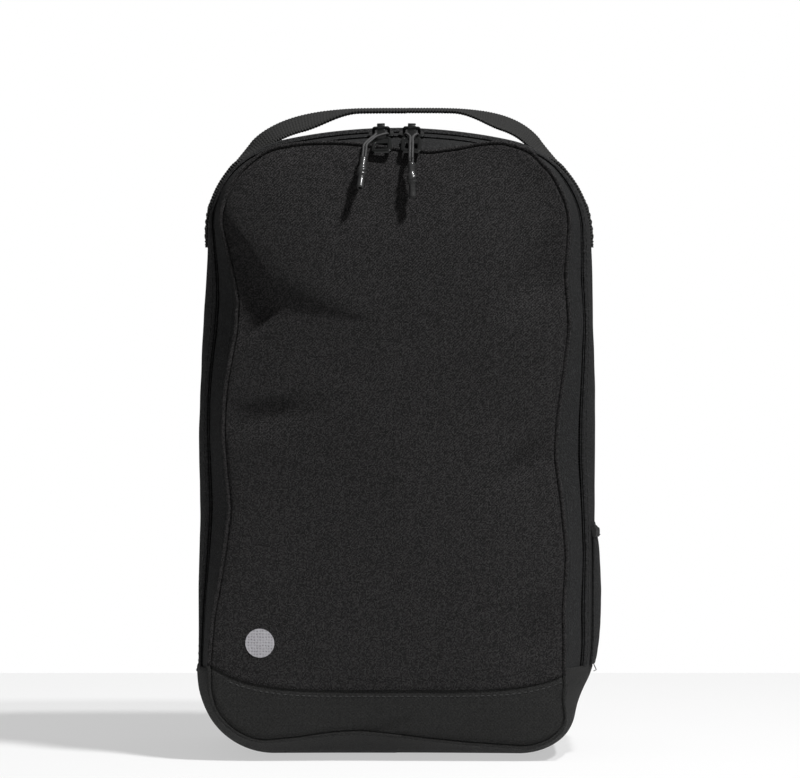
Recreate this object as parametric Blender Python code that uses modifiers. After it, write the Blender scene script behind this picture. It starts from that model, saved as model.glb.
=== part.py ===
"""Golf shoe bag: a soft upright case with a wrap-round zip, a webbing carry handle,
a slip pocket on one side and two cord zip pulls.

Metres, +Z up. The bag stands on its base gusset at z = 0, its front faces -Y, and the
origin is at the middle of the underside. The front panel opens forward as a flap that
hinges along the seam above the accent band.
"""
import math

import bmesh
import bpy
from mathutils import Matrix, Vector

# ---------------------------------------------------------------- driving dimensions
HEIGHT = 0.350            # floor to the middle of the crown
HALF_DEPTH = 0.060        # gusset, front seam to back seam
CROWN_R = 0.296           # radius of the crown
SHOULDER_R = 0.056        # radius of the two top corners
SHOULDER_X = 0.0515       # centre of a top corner
SIDE_LEAN = math.radians(3.07)   # inward lean of the sides where they meet the shoulders
TAPER_Z = 0.150           # height at which the sides start to lean in
BASE_R = 0.043            # radius of the two bottom corners
SPLIT_Z = 0.050           # seam between the main fabric and the accent band
GAP = 0.0003              # air left between touching pieces

PLATEAU_FRONT = -0.025    # the gusset is full size between these two depths
PLATEAU_BACK = 0.035
FRONT_INSET = 0.0085      # how far the gusset draws in at the front seam
BACK_INSET = 0.0070       # and at the back seam
CROWN_INSET_SHARE = 1.3   # at the crown the sliders weigh the gusset down

FABRIC = 0.0012           # outer fabric with its foam backing
PANEL = 0.0013            # front and back panels
LINING = 0.0008
PANEL_RIM_Y = 0.0617      # outer face of the front and back panels at their seams
FRONT_BULGE = 0.0118      # front panel's crown
BACK_BULGE = 0.0040
SPINE_LOW = 0.100         # the crowned panels are fullest along this upright line
SPINE_HIGH = 0.240
PANEL_SHARES = (1.0, 0.93, 0.8, 0.58, 0.2)   # rings of a crowned panel, by size
LINING_SHARES = (1.0, 0.86, 0.6, 0.2)

ZIP_Y = -0.043            # middle of the zip
ZIP_SLOT = 0.0034         # between the two rows of coil
COIL_WIDTH = 0.0022
COIL_HEIGHT = 0.0016
TAPE = 0.0008
TAPE_DEPTH = 0.0015       # tape's face below the gusset's face
GUSSET_EDGE_Y = -0.0366   # folded edge of the rear gusset beside the zip

FLAP_HINGE_Y = -0.0722    # just in front of the crowned seam
SLIDER_REST = math.radians(1.65)   # each slider's place from the middle of the crown
SLIDER_LENGTH = 0.014
SLIDER_WIDTH = 0.011
SLIDER_PLATE = 0.0014
SLIDER_NECK = 0.0020
SLIDER_LIFT = 0.0004      # top plate above the tape
SLIDER_UNDER = 0.0024     # bottom plate below the coil
BAR = 0.0016              # section of the bail's bar
BAR_RISE = 0.0031         # bar's middle above the top plate
TAB_DROOP = math.radians(31)   # the tab's slope below the horizontal
TAB_LENGTH = 0.027
TAB_THICK = 0.0014
TAB_NECK = 0.0044
TAB_WIDTH = 0.0110
HITCH = 0.007             # cord hitch's distance from the bar
CORD_R = 0.0007
CORD_SPACING = 0.00075    # each strand from the middle of the pair
HITCH_DEPTH = TAB_THICK / 2 + CORD_R + 0.0004   # cord's middle below the tab's
GRIP_LENGTH = 0.020
CORD_HANG = {"left": (-0.12, 0.62, 0.0080), "right": (0.04, 0.20, 0.0030)}   # sideways, forward, length

WEB_WIDTH = 0.025
WEB_THICK = 0.0022
WEB_Y = 0.008             # middle of the webbing, front to back
TAIL_END_Z = 0.283
LIFT_OFF = math.radians(52)    # where the webbing leaves the shoulder
HANDLE_X = 0.082          # half span of the free part of the handle
HANDLE_RISE = 0.0187

POCKET_FRONT = -0.034
POCKET_BACK = 0.054
POCKET_LOW = 0.0525
POCKET_TOP = 0.122
POCKET_WALL = 0.0010
POCKET_BULGE = 0.0058
BINDING_HEIGHT = 0.005

EMBLEM_X = -0.0752
EMBLEM_Z = 0.0655
EMBLEM_R = 0.0080

# ---------------------------------------------------------------- derived dimensions
CROWN_Z = HEIGHT - CROWN_R
SHOULDER_Z = CROWN_Z + math.sqrt((CROWN_R - SHOULDER_R) ** 2 - SHOULDER_X ** 2)
CROWN_ANGLE = math.atan2(SHOULDER_X, SHOULDER_Z - CROWN_Z)
LEAN_TOP_Z = SHOULDER_Z + SHOULDER_R * math.sin(SIDE_LEAN)
LEAN_CURVE = math.tan(SIDE_LEAN) / (2 * (LEAN_TOP_Z - TAPER_Z))
HALF_WIDTH = (SHOULDER_X + SHOULDER_R * math.cos(SIDE_LEAN)
              + LEAN_CURVE * (LEAN_TOP_Z - TAPER_Z) ** 2)

MAIN = bpy.data.collections.new("golf_shoe_bag")


# ---------------------------------------------------------------- scene and materials
def clear_scene():
    for obj in list(bpy.data.objects):
        bpy.data.objects.remove(obj, do_unlink=True)
    bpy.context.scene.collection.children.link(MAIN)


def material(name, colour, roughness, metallic=0.0):
    """The named Principled material, made on first use."""
    found = bpy.data.materials.get(name)
    if found:
        return found
    made = bpy.data.materials.new(name)
    made.use_nodes = True
    shader = made.node_tree.nodes["Principled BSDF"]
    shader.inputs["Base Color"].default_value = (*colour, 1.0)
    shader.inputs["Roughness"].default_value = roughness
    shader.inputs["Metallic"].default_value = metallic
    made.diffuse_color = (*colour, 1.0)
    return made


def twill():
    return material("charcoal_twill", (0.020, 0.019, 0.020), 0.80)


def ballistic():
    return material("accent_weave", (0.018, 0.019, 0.018), 0.85)


def dobby():
    return material("gusset_dobby", (0.021, 0.021, 0.023), 0.80)


def tape_cloth():
    return material("zip_tape", (0.018, 0.019, 0.021), 0.75)


def lining_cloth():
    return material("lining", (0.010, 0.010, 0.011), 0.90)


def webbing():
    return material("webbing", (0.015, 0.015, 0.015), 0.70)


def coil_plastic():
    return material("coil", (0.006, 0.006, 0.006), 0.35)


def slider_metal():
    return material("slider_enamel", (0.012, 0.014, 0.013), 0.30, 0.6)


def cord_cloth():
    return material("pull_cord", (0.030, 0.029, 0.031), 0.45)


def grip_rubber():
    return material("pull_grip", (0.055, 0.052, 0.056), 0.25)


def board_plastic():
    return material("base_board", (0.012, 0.012, 0.012), 0.60)


def print_ink():
    return material("emblem_print", (0.55, 0.54, 0.58), 0.50)


# ---------------------------------------------------------------- outline of the bag
def crown_and_shoulder():
    """Right half from the middle of the crown to the accent seam: (x, z, nx, nz)."""
    points = []
    crown_steps = 6
    shoulder_steps = 8
    side_steps = 3
    for step in range(crown_steps):
        angle = CROWN_ANGLE * step / crown_steps
        points.append((CROWN_R * math.sin(angle), CROWN_Z + CROWN_R * math.cos(angle),
                       math.sin(angle), math.cos(angle)))
    sweep = math.pi / 2 - SIDE_LEAN - CROWN_ANGLE
    for step in range(shoulder_steps + 1):
        angle = CROWN_ANGLE + sweep * step / shoulder_steps
        points.append((SHOULDER_X + SHOULDER_R * math.sin(angle),
                       SHOULDER_Z + SHOULDER_R * math.cos(angle),
                       math.sin(angle), math.cos(angle)))
    for step in range(1, side_steps + 1):
        z = LEAN_TOP_Z + (TAPER_Z - LEAN_TOP_Z) * step / side_steps
        lean = math.atan(2 * LEAN_CURVE * (z - TAPER_Z))
        points.append((HALF_WIDTH - LEAN_CURVE * (z - TAPER_Z) ** 2, z,
                       math.cos(lean), math.sin(lean)))
    return points


def base_corner():
    """Right half from the top of the bottom corner to the middle of the base."""
    points = []
    steps = 6
    for step in range(steps + 1):
        angle = math.pi / 2 * step / steps
        points.append((HALF_WIDTH - BASE_R + BASE_R * math.cos(angle),
                       BASE_R - BASE_R * math.sin(angle),
                       math.cos(angle), -math.sin(angle)))
    points.append((0.0, 0.0, 0.0, -1.0))
    return points


def mirrored(points):
    """The same points on the left side, in the opposite order."""
    return [(-x, z, -nx, nz) for x, z, nx, nz in reversed(points)]


def upper_outline(side_z=SPLIT_Z + GAP / 2):
    """From the left accent seam over the crown to the right accent seam."""
    right = crown_and_shoulder() + [(HALF_WIDTH, side_z, 1.0, 0.0)]
    return mirrored(right[1:]) + right


def lower_outline(side_z=SPLIT_Z - GAP / 2):
    """From the right accent seam round the base to the left accent seam."""
    right = [(HALF_WIDTH, side_z, 1.0, 0.0)] + base_corner()
    return right + mirrored(right[:-1])


def loop_outline():
    """The whole outline once round, clockwise from the middle of the crown."""
    right = crown_and_shoulder() + base_corner()
    return right + mirrored(right[1:-1])


def inset(y, nz):
    """How far the gusset's face is drawn in at depth y."""
    crown = min(max((nz - 0.80) / 0.17, 0.0), 1.0)
    share = 1 + (CROWN_INSET_SHARE - 1) * crown * crown * (3 - 2 * crown)
    if y < PLATEAU_FRONT:
        part = (PLATEAU_FRONT - y) / (HALF_DEPTH + PLATEAU_FRONT)
        return FRONT_INSET * share * part ** 1.6
    if y > PLATEAU_BACK:
        part = (y - PLATEAU_BACK) / (HALF_DEPTH - PLATEAU_BACK)
        return BACK_INSET * part ** 1.8
    return 0.0


def base_inset(y, nz):
    """The base gusset meets the front panel without the step that the zip tape makes."""
    if y < 0:
        return inset(y, nz) * (FRONT_INSET + TAPE_DEPTH) / FRONT_INSET
    return inset(y, nz)


# ---------------------------------------------------------------- mesh building
def link(name, mesh, mat, parent=None):
    obj = bpy.data.objects.new(name, mesh)
    MAIN.objects.link(obj)
    obj.data.materials.append(mat)
    if parent:
        obj.parent = parent
        obj.matrix_parent_inverse = parent.matrix_world.inverted()
    return obj


def mesh_from(bm, name):
    mesh = bpy.data.meshes.new(name)
    bm.to_mesh(mesh)
    bm.free()
    return mesh


def smooth(obj, degrees=35):
    obj.data.shade_smooth()
    obj.data.set_sharp_from_angle(angle=math.radians(degrees))


def solidify(obj, thickness, offset=-1.0):
    mod = obj.modifiers.new("thickness", "SOLIDIFY")
    mod.thickness = thickness
    mod.offset = offset
    mod.use_even_offset = True
    mod.use_quality_normals = True


def strip(name, rows, thickness, mat, parent=None, offset=-1.0):
    """A sheet through rows of points, thickened on its inner side."""
    bm = bmesh.new()
    grid = [[bm.verts.new(point) for point in row] for row in rows]
    for row, following in zip(grid, grid[1:]):
        for step in range(len(row) - 1):
            bm.faces.new((row[step], following[step], following[step + 1], row[step + 1]))
    obj = link(name, mesh_from(bm, name), mat, parent)
    smooth(obj)
    solidify(obj, thickness, offset)
    return obj


def spread(first, last, count):
    """Evenly spaced values, both ends included."""
    return [first + (last - first) * step / (count - 1) for step in range(count)]


def gusset_sheet(name, outline, depths_y, below, thickness, mat, parent=None, draw=inset):
    """A band that follows the outline, its outer face `below` the gusset's face."""
    rows = []
    for x, z, nx, nz in outline:
        rows.append([(x - nx * (draw(y, nz) + below), y, z - nz * (draw(y, nz) + below))
                     for y in depths_y])
    return strip(name, rows, thickness, mat, parent)


def panel_rings(rim_inset, rim_y, bulge, shares=PANEL_SHARES):
    """Rings of a crowned panel, from its seam to its flat middle."""
    rings = []
    outline = loop_outline()
    for share in shares:
        ring = []
        for x, z, nx, nz in outline:
            rim_x = x - nx * rim_inset(nz)
            rim_z = z - nz * rim_inset(nz)
            spine_z = min(max(rim_z, SPINE_LOW), SPINE_HIGH)
            ring.append((rim_x * share, rim_y + bulge * (1 - share ** 2) ** 0.8,
                         spine_z + (rim_z - spine_z) * share))
        rings.append(ring)
    return rings


def crowned_panel(name, rings, facing, keep_above, thickness, mat, parent=None):
    """A crowned panel, cut level at the accent seam and thickened inward."""
    bm = bmesh.new()
    loops = [[bm.verts.new(point) for point in ring] for ring in rings]
    count = len(loops[0])
    for ring, following in zip(loops, loops[1:]):
        for step in range(count):
            after = (step + 1) % count
            bm.faces.new((ring[step], ring[after], following[after], following[step]))
    bm.faces.new(loops[-1])
    cut_z = SPLIT_Z + (GAP / 2 if keep_above else -GAP / 2)
    everything = bm.verts[:] + bm.edges[:] + bm.faces[:]
    bmesh.ops.bisect_plane(bm, geom=everything, dist=1e-6, plane_co=(0, 0, cut_z),
                           plane_no=(0, 0, 1), clear_inner=keep_above,
                           clear_outer=not keep_above)
    bmesh.ops.recalc_face_normals(bm, faces=bm.faces)
    total = sum((face.normal.y * face.calc_area() for face in bm.faces), 0.0)
    if total * facing < 0:
        bmesh.ops.reverse_faces(bm, faces=bm.faces)
    obj = link(name, mesh_from(bm, name), mat, parent)
    smooth(obj)
    solidify(obj, thickness)
    return obj


def prism(name, outline, half_length, place, mat, parent=None):
    """A flat outline in the x-z plane, drawn out along y both ways, then placed."""
    bm = bmesh.new()
    face = bm.faces.new([bm.verts.new((x, -half_length, z)) for x, z in outline])
    drawn = bmesh.ops.extrude_face_region(bm, geom=[face])
    moved = [item for item in drawn["geom"] if isinstance(item, bmesh.types.BMVert)]
    bmesh.ops.translate(bm, verts=moved, vec=(0, 2 * half_length, 0))
    bmesh.ops.recalc_face_normals(bm, faces=bm.faces)
    bm.transform(place)
    return link(name, mesh_from(bm, name), mat, parent)


def tube(name, points, radius, mat, parent=None):
    """A round cord through the given points."""
    curve = bpy.data.curves.new(name, "CURVE")
    curve.dimensions = "3D"
    curve.bevel_depth = radius
    curve.bevel_resolution = 2
    curve.use_fill_caps = True
    spline = curve.splines.new("POLY")
    spline.points.add(len(points) - 1)
    for target, point in zip(spline.points, points):
        target.co = (*point, 1.0)
    return link(name, curve, mat, parent)


def smooth_path(points, per_span):
    """Points along a Catmull-Rom curve through the given ones."""
    ends = [2 * points[0] - points[1]] + points + [2 * points[-1] - points[-2]]
    path = []
    for before, start, end, after in zip(ends, ends[1:], ends[2:], ends[3:]):
        for step in range(per_span):
            t = step / per_span
            path.append(0.5 * (2 * start + (end - before) * t
                               + (2 * before - 5 * start + 4 * end - after) * t * t
                               + (3 * start - before - 3 * end + after) * t ** 3))
    path.append(points[-1])
    return path


def pivot(name, matrix, parent=None):
    """An empty on a joint's axis, which is its own x axis, or y for the sliders."""
    empty = bpy.data.objects.new(name, None)
    MAIN.objects.link(empty)
    empty.empty_display_size = 0.02
    if parent:
        empty.parent = parent
        empty.matrix_parent_inverse = parent.matrix_world.inverted()
    empty.matrix_world = matrix
    bpy.context.view_layer.update()
    return empty


# ---------------------------------------------------------------- body of the bag
def front_rim(nz):
    return inset(-HALF_DEPTH, nz) + TAPE_DEPTH


def back_rim(nz):
    return inset(HALF_DEPTH, nz)


def make_panels(flap):
    """The crowned front panel on the flap, the fixed band below it, and the back."""
    front = panel_rings(front_rim, -PANEL_RIM_Y, -FRONT_BULGE)
    back = panel_rings(back_rim, PANEL_RIM_Y, BACK_BULGE)
    panel = crowned_panel("front_panel", front, -1, True, PANEL, twill(), flap)
    crowned_panel("front_lower_panel", front, -1, False, PANEL, ballistic())
    crowned_panel("back_panel", back, 1, True, PANEL, twill())
    crowned_panel("back_lower_panel", back, 1, False, PANEL, ballistic())
    make_panel_linings(flap)
    return panel


def make_panel_linings(flap):
    """Linings held just inside the panels and clear of the seams."""
    behind = PANEL + GAP
    clear = 0.003
    front = panel_rings(lambda nz: front_rim(nz) + clear, -PANEL_RIM_Y + behind,
                        -FRONT_BULGE, LINING_SHARES)
    back = panel_rings(lambda nz: back_rim(nz) + clear, PANEL_RIM_Y - behind, BACK_BULGE,
                       LINING_SHARES)
    crowned_panel("front_lining", front, -1, True, LINING, lining_cloth(), flap)
    crowned_panel("back_lining", back, 1, True, LINING, lining_cloth())


def make_gussets():
    """The band round the sides, the crown and the base, behind the zip."""
    upper = upper_outline()
    lower = lower_outline()
    rear = [GUSSET_EDGE_Y, -0.031, PLATEAU_FRONT, 0.005, PLATEAU_BACK, 0.043, 0.050,
            0.056, HALF_DEPTH]
    base = [-HALF_DEPTH, -0.055, -0.048, -0.040, -0.032] + rear[2:]
    gusset_sheet("rear_gusset", upper, rear, 0.0, FABRIC, dobby())
    gusset_sheet("base_gusset", lower, base, 0.0, FABRIC, ballistic(), draw=base_inset)
    gusset_sheet("gusset_lining", upper, [-0.0294, PLATEAU_FRONT, PLATEAU_BACK, 0.0515],
                 FABRIC + GAP, LINING, lining_cloth())


def make_bindings(flap):
    """Bound seam allowances inside the front and back seams."""
    width = 0.007
    inner = 0.0005
    front = spread(-HALF_DEPTH + inner, -HALF_DEPTH + inner + width, 3)
    back = spread(HALF_DEPTH - inner - width, HALF_DEPTH - inner, 3)
    under_tape = TAPE_DEPTH + TAPE + GAP
    gusset_sheet("front_seam_binding", upper_outline(), front, under_tape, FABRIC,
                 webbing(), flap)
    gusset_sheet("front_base_binding", lower_outline(), front, FABRIC + GAP, FABRIC,
                 webbing(), draw=base_inset)
    gusset_sheet("back_seam_binding", upper_outline(), back, FABRIC + GAP, FABRIC,
                 webbing())
    gusset_sheet("back_base_binding", lower_outline(), back, FABRIC + GAP, FABRIC,
                 webbing(), draw=base_inset)


def make_base_board():
    """The stiff board that keeps the base flat."""
    bm = bmesh.new()
    bmesh.ops.create_cube(bm, size=1.0)
    bmesh.ops.scale(bm, verts=bm.verts, vec=(0.128, 0.072, 0.002))
    bmesh.ops.translate(bm, verts=bm.verts, vec=(0, 0.005, 0.0034))
    upright = [edge for edge in bm.edges
               if abs(edge.verts[0].co.z - edge.verts[1].co.z) > 0.001]
    bmesh.ops.bevel(bm, geom=upright, offset=0.008, segments=4, affect="EDGES")
    link("base_board", mesh_from(bm, "base_board"), board_plastic())


# ---------------------------------------------------------------- zip
def make_zip(flap):
    """Two halves of tape, each with its row of coil on the inner side."""
    upper = upper_outline()
    front_coil = ZIP_Y - ZIP_SLOT / 2
    rear_coil = ZIP_Y + ZIP_SLOT / 2
    edge = 0.0002
    under = TAPE_DEPTH + TAPE + GAP
    gusset_sheet("zip_tape_front", upper, spread(-HALF_DEPTH, front_coil - edge, 4),
                 TAPE_DEPTH, TAPE, tape_cloth(), flap)
    gusset_sheet("zip_tape_rear", upper, spread(rear_coil + edge, -0.030, 3),
                 TAPE_DEPTH, TAPE, tape_cloth())
    gusset_sheet("zip_coil_front", upper, [front_coil - COIL_WIDTH, front_coil], under,
                 COIL_HEIGHT, coil_plastic(), flap)
    gusset_sheet("zip_coil_rear", upper, [rear_coil, rear_coil + COIL_WIDTH], under,
                 COIL_HEIGHT, coil_plastic())


def zip_tilt():
    """Slope of the gusset's face across the zip at the crown."""
    step = 0.001
    return math.atan((inset(ZIP_Y - step, 1) - inset(ZIP_Y + step, 1)) / (2 * step))


def zip_frame(turn):
    """Frame on the zip: x along it, y across it toward the back, z out of the bag."""
    return (Matrix.Translation((0, 0, CROWN_Z)) @ Matrix.Rotation(turn, 4, "Y")
            @ Matrix.Translation((0, ZIP_Y, CROWN_R - inset(ZIP_Y, 1)))
            @ Matrix.Rotation(zip_tilt(), 4, "X"))


def tab_point(x, along, above):
    """A point by its place on the hanging tab, in the frame of the zip."""
    slope = TAB_DROOP - zip_tilt()
    bar_z = SLIDER_LIFT - TAPE_DEPTH + SLIDER_PLATE + BAR_RISE
    return Vector((x, -along * math.cos(slope) - above * math.sin(slope),
                   bar_z - along * math.sin(slope) + above * math.cos(slope)))


def make_slider(side, frame, parent):
    """The slider's two plates and neck, and the bail on top of it."""
    top = SLIDER_LIFT - TAPE_DEPTH
    bottom = -(TAPE_DEPTH + TAPE + GAP + COIL_HEIGHT + SLIDER_UNDER)
    wide = SLIDER_WIDTH / 2
    neck = SLIDER_NECK / 2
    forward = (TAPE_DEPTH + TAPE + GAP + COIL_HEIGHT / 2) * math.tan(zip_tilt())
    outline = [(wide, top + SLIDER_PLATE), (wide, top), (neck - forward, top),
               (neck - forward, bottom), (wide, bottom), (wide, bottom - SLIDER_PLATE),
               (-wide, bottom - SLIDER_PLATE), (-wide, bottom), (-neck - forward, bottom),
               (-neck - forward, top), (-wide, top), (-wide, top + SLIDER_PLATE)]
    turn = Matrix.Rotation(math.pi / 2, 4, "Z")
    prism(f"slider_{side}", outline, SLIDER_LENGTH / 2, frame @ turn, slider_metal(),
          parent)
    foot = top + SLIDER_PLATE + GAP
    bar = top + SLIDER_PLATE + BAR_RISE
    out = 0.005
    clear = 0.0034
    arch = [(-out, foot), (-clear, foot), (-clear, bar - BAR / 2), (clear, bar - BAR / 2),
            (clear, foot), (out, foot), (out, bar + BAR / 2), (-out, bar + BAR / 2)]
    prism(f"slider_bail_{side}", arch, BAR / 2, frame, slider_metal(), parent)


def make_tab(side, frame, parent):
    """The pull tab: an eye round the bail's bar, a neck, and a plate with a window."""
    slope = TAB_DROOP - zip_tilt()
    place = frame @ Matrix.Translation(tab_point(0, 0, 0)) @ Matrix.Rotation(slope, 4, "X")
    neck = TAB_NECK / 2
    wide = TAB_WIDTH / 2
    shoulder = 0.0105
    window = [(-0.0034, -0.0240), (0.0034, -0.0240), (0.0034, -0.0180), (-0.0034, -0.0180)]
    half = [(neck, 0.0), (neck, -0.0090), (wide, -shoulder - 0.002),
            (wide, -TAB_LENGTH + 0.0015), (wide - 0.0015, -TAB_LENGTH)]
    outline = half + [(-x, y) for x, y in reversed(half)]
    plate = flat_plate(f"tab_plate_{side}", [outline, window], TAB_THICK, place)
    eye = ring_solid(f"tab_eye_{side}", 0.0027, TAB_NECK, place)
    bore = ring_solid(f"tab_bore_{side}", 0.00145, TAB_NECK * 2, place)
    tab = link(f"pull_tab_{side}", plate.data.copy(), slider_metal(), parent)
    for cutter, operation in ((eye, "UNION"), (bore, "DIFFERENCE")):
        mod = tab.modifiers.new(operation.lower(), "BOOLEAN")
        mod.object = cutter
        mod.operation = operation
    bpy.data.objects.remove(plate, do_unlink=True)
    return tab


def guide(name, mesh):
    """A solid that only shapes others, kept out of the model."""
    obj = bpy.data.objects.new(name, mesh)
    GUIDES.objects.link(obj)
    obj.hide_render = True
    obj.display_type = "WIRE"
    return obj


def flat_plate(name, outlines, thickness, place):
    """Closed outlines in the x-y plane, the later ones holes in the first, as a plate."""
    curve = bpy.data.curves.new(name, "CURVE")
    curve.dimensions = "2D"
    curve.fill_mode = "BOTH"
    curve.extrude = thickness / 2
    for outline in outlines:
        spline = curve.splines.new("POLY")
        spline.points.add(len(outline) - 1)
        spline.use_cyclic_u = True
        for target, (x, y) in zip(spline.points, outline):
            target.co = (x, y, 0.0, 1.0)
    source = guide(name + "_curve", curve)
    bpy.context.view_layer.update()
    solid = source.evaluated_get(bpy.context.evaluated_depsgraph_get())
    bm = bmesh.new()
    bm.from_mesh(bpy.data.meshes.new_from_object(solid))
    bmesh.ops.remove_doubles(bm, verts=bm.verts, dist=1e-6)
    bmesh.ops.recalc_face_normals(bm, faces=bm.faces)
    bm.transform(place)
    bpy.data.objects.remove(source, do_unlink=True)
    return guide(name, mesh_from(bm, name))


def ring_solid(name, radius, length, place):
    """A cylinder along the frame's x axis."""
    bm = bmesh.new()
    bmesh.ops.create_cone(bm, cap_ends=True, segments=20, radius1=radius, radius2=radius,
                          depth=length)
    bm.transform(place @ Matrix.Rotation(math.pi / 2, 4, "Y"))
    return guide(name, mesh_from(bm, name))


def cord_strand(frame, side, sign):
    """One strand from the hitch to the grip, in the frame of the zip, and its way down."""
    lean, forward, hang = CORD_HANG[side]
    down = frame.inverted().to_3x3() @ Vector((lean, -forward, -1)).normalized()
    beside = TAB_NECK / 2 + CORD_R + 0.0006
    hitch = [tab_point(0.7 * beside * sign, HITCH, -HITCH_DEPTH),
             tab_point(beside * sign, HITCH + 0.0006, -0.0002),
             tab_point(0.8 * beside * sign, HITCH + 0.0028, 0.0019)]
    apart = CORD_SPACING * sign
    if side == "left":
        over = [tab_point(0.78 * apart - 0.0034, 0.0128 + 0.62 * apart, 0.0021),
                tab_point(0.78 * apart - 0.0064, 0.0172 + 0.62 * apart, 0.0021),
                tab_point(apart - 0.0088, 0.0212, 0.0016)]
    else:
        over = [tab_point(apart, along, above) for along, above in
                ((0.0135, 0.0019), (0.0200, 0.0019), (0.0262, 0.0019), (0.0308, -0.0004))]
    last = over[-1] + down * hang
    return hitch + over + [over[-1] + down * hang * 0.5, last], down


def make_pull(side, frame, parent):
    """The cord hitched round the tab's neck, and the moulded grip on its two ends."""
    left, down = cord_strand(frame, side, -1)
    right, _ = cord_strand(frame, side, 1)
    points = list(reversed(right)) + [tab_point(0, HITCH, -HITCH_DEPTH)] + left
    path = [frame @ point for point in smooth_path(points, 2)]
    tube(f"pull_cord_{side}", path, CORD_R, cord_cloth(), parent)
    end = (left[-1] + right[-1]) / 2
    make_grip(side, frame @ end, (frame.to_3x3() @ down).normalized(), parent)


def make_grip(side, top, way, parent):
    """The moulded grip: a slim turned sleeve with a knot-like swelling."""
    shape = [(0.0000, 0.0016), (0.0006, 0.0021), (0.0050, 0.0019), (0.0072, 0.0026),
             (0.0092, 0.0027), (0.0112, 0.0025), (0.0128, 0.0018), (0.0190, 0.0020),
             (GRIP_LENGTH, 0.0013)]
    bm = bmesh.new()
    steps = 16
    rings = []
    for along, radius in shape:
        turns = [2 * math.pi * step / steps for step in range(steps)]
        rings.append([bm.verts.new((radius * math.cos(a), radius * math.sin(a), -along))
                      for a in turns])
    for ring, following in zip(rings, rings[1:]):
        edges = [bm.edges.get((a, b)) or bm.edges.new((a, b))
                 for loop in (ring, following)
                 for a, b in zip(loop, loop[1:] + loop[:1])]
        bmesh.ops.bridge_loops(bm, edges=edges)
    bm.faces.new(rings[0])
    bm.faces.new(rings[-1])
    bmesh.ops.recalc_face_normals(bm, faces=bm.faces)
    aim = Vector((0, 0, -1)).rotation_difference(way).to_matrix().to_4x4()
    bm.transform(Matrix.Translation(top + way * GAP) @ aim)
    grip = link(f"pull_grip_{side}", mesh_from(bm, "pull_grip"), grip_rubber(), parent)
    smooth(grip, 50)


def make_pulls(flap):
    """Both sliders with their tabs and cords, each on its own pivots."""
    centre = Matrix.Translation((0, 0, CROWN_Z))
    for side, sign in (("left", -1), ("right", 1)):
        frame = zip_frame(sign * SLIDER_REST)
        slider = pivot(f"pivot_slider_{side}", centre, flap)
        bar = frame @ Matrix.Translation(tab_point(0, 0, 0))
        hitch = frame @ Matrix.Translation(tab_point(0, HITCH, -HITCH_DEPTH))
        tab = pivot(f"pivot_tab_{side}", bar, slider)
        cord = pivot(f"pivot_cord_{side}", hitch, tab)
        make_slider(side, frame, slider)
        make_tab(side, frame, tab)
        make_pull(side, frame, cord)


# ---------------------------------------------------------------- handle
def tail_path():
    """Middle line of the right tail, root end first."""
    raised = GAP + WEB_THICK / 2
    lean = math.atan(2 * LEAN_CURVE * (TAIL_END_Z - TAPER_Z))
    end_x = HALF_WIDTH - LEAN_CURVE * (TAIL_END_Z - TAPER_Z) ** 2
    points = [(end_x + raised * math.cos(lean), TAIL_END_Z + raised * math.sin(lean))]
    steps = 6
    first = math.pi / 2 - SIDE_LEAN
    for step in range(steps + 1):
        angle = first + (LIFT_OFF - first) * step / steps
        reach = SHOULDER_R + raised
        points.append((SHOULDER_X + reach * math.sin(angle),
                       SHOULDER_Z + reach * math.cos(angle)))
    last_x, last_z = points[-1]
    end_x = HANDLE_X + GAP / 2
    points.append((end_x, last_z + (last_x - end_x) * math.tan(LIFT_OFF)))
    return points


def handle_end_z():
    """Height of the webbing's middle where the free part starts."""
    x, z = tail_path()[-1]
    return z + (x - HANDLE_X) * math.tan(LIFT_OFF)


def arch_path():
    """Middle line of the free part of the handle, left to right."""
    points = []
    steps = 24
    reach = HANDLE_X - GAP / 2
    for step in range(steps + 1):
        x = -reach * math.cos(math.pi * step / steps)
        share = max(0.0, 1 - abs(x / HANDLE_X) ** 4)
        points.append((x, handle_end_z() + HANDLE_RISE * share ** 0.85))
    return points


def ribbon(name, path, mat, parent=None):
    """Webbing along a path in the x-z plane, square cut at both ends."""
    edge = WEB_WIDTH / 2
    rows = [[(x, WEB_Y - edge, z), (x, WEB_Y + edge, z)] for x, z in path]
    return strip(name, rows, WEB_THICK, mat, parent, offset=0.0)


def trim_at(obj, x, keep_right):
    """Cut a piece square at the given x, so that two pieces meet face to face."""
    bm = bmesh.new()
    bpy.context.view_layer.update()
    solid = obj.evaluated_get(bpy.context.evaluated_depsgraph_get())
    bm.from_mesh(bpy.data.meshes.new_from_object(solid))
    everything = bm.verts[:] + bm.edges[:] + bm.faces[:]
    cut = bmesh.ops.bisect_plane(bm, geom=everything, dist=1e-7, plane_co=(x, 0, 0),
                                 plane_no=(1, 0, 0), clear_inner=keep_right,
                                 clear_outer=not keep_right)
    rim = [item for item in cut["geom_cut"] if isinstance(item, bmesh.types.BMEdge)]
    bmesh.ops.holes_fill(bm, edges=rim)
    bmesh.ops.recalc_face_normals(bm, faces=bm.faces)
    obj.modifiers.clear()
    bm.to_mesh(obj.data)
    bm.free()


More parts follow.
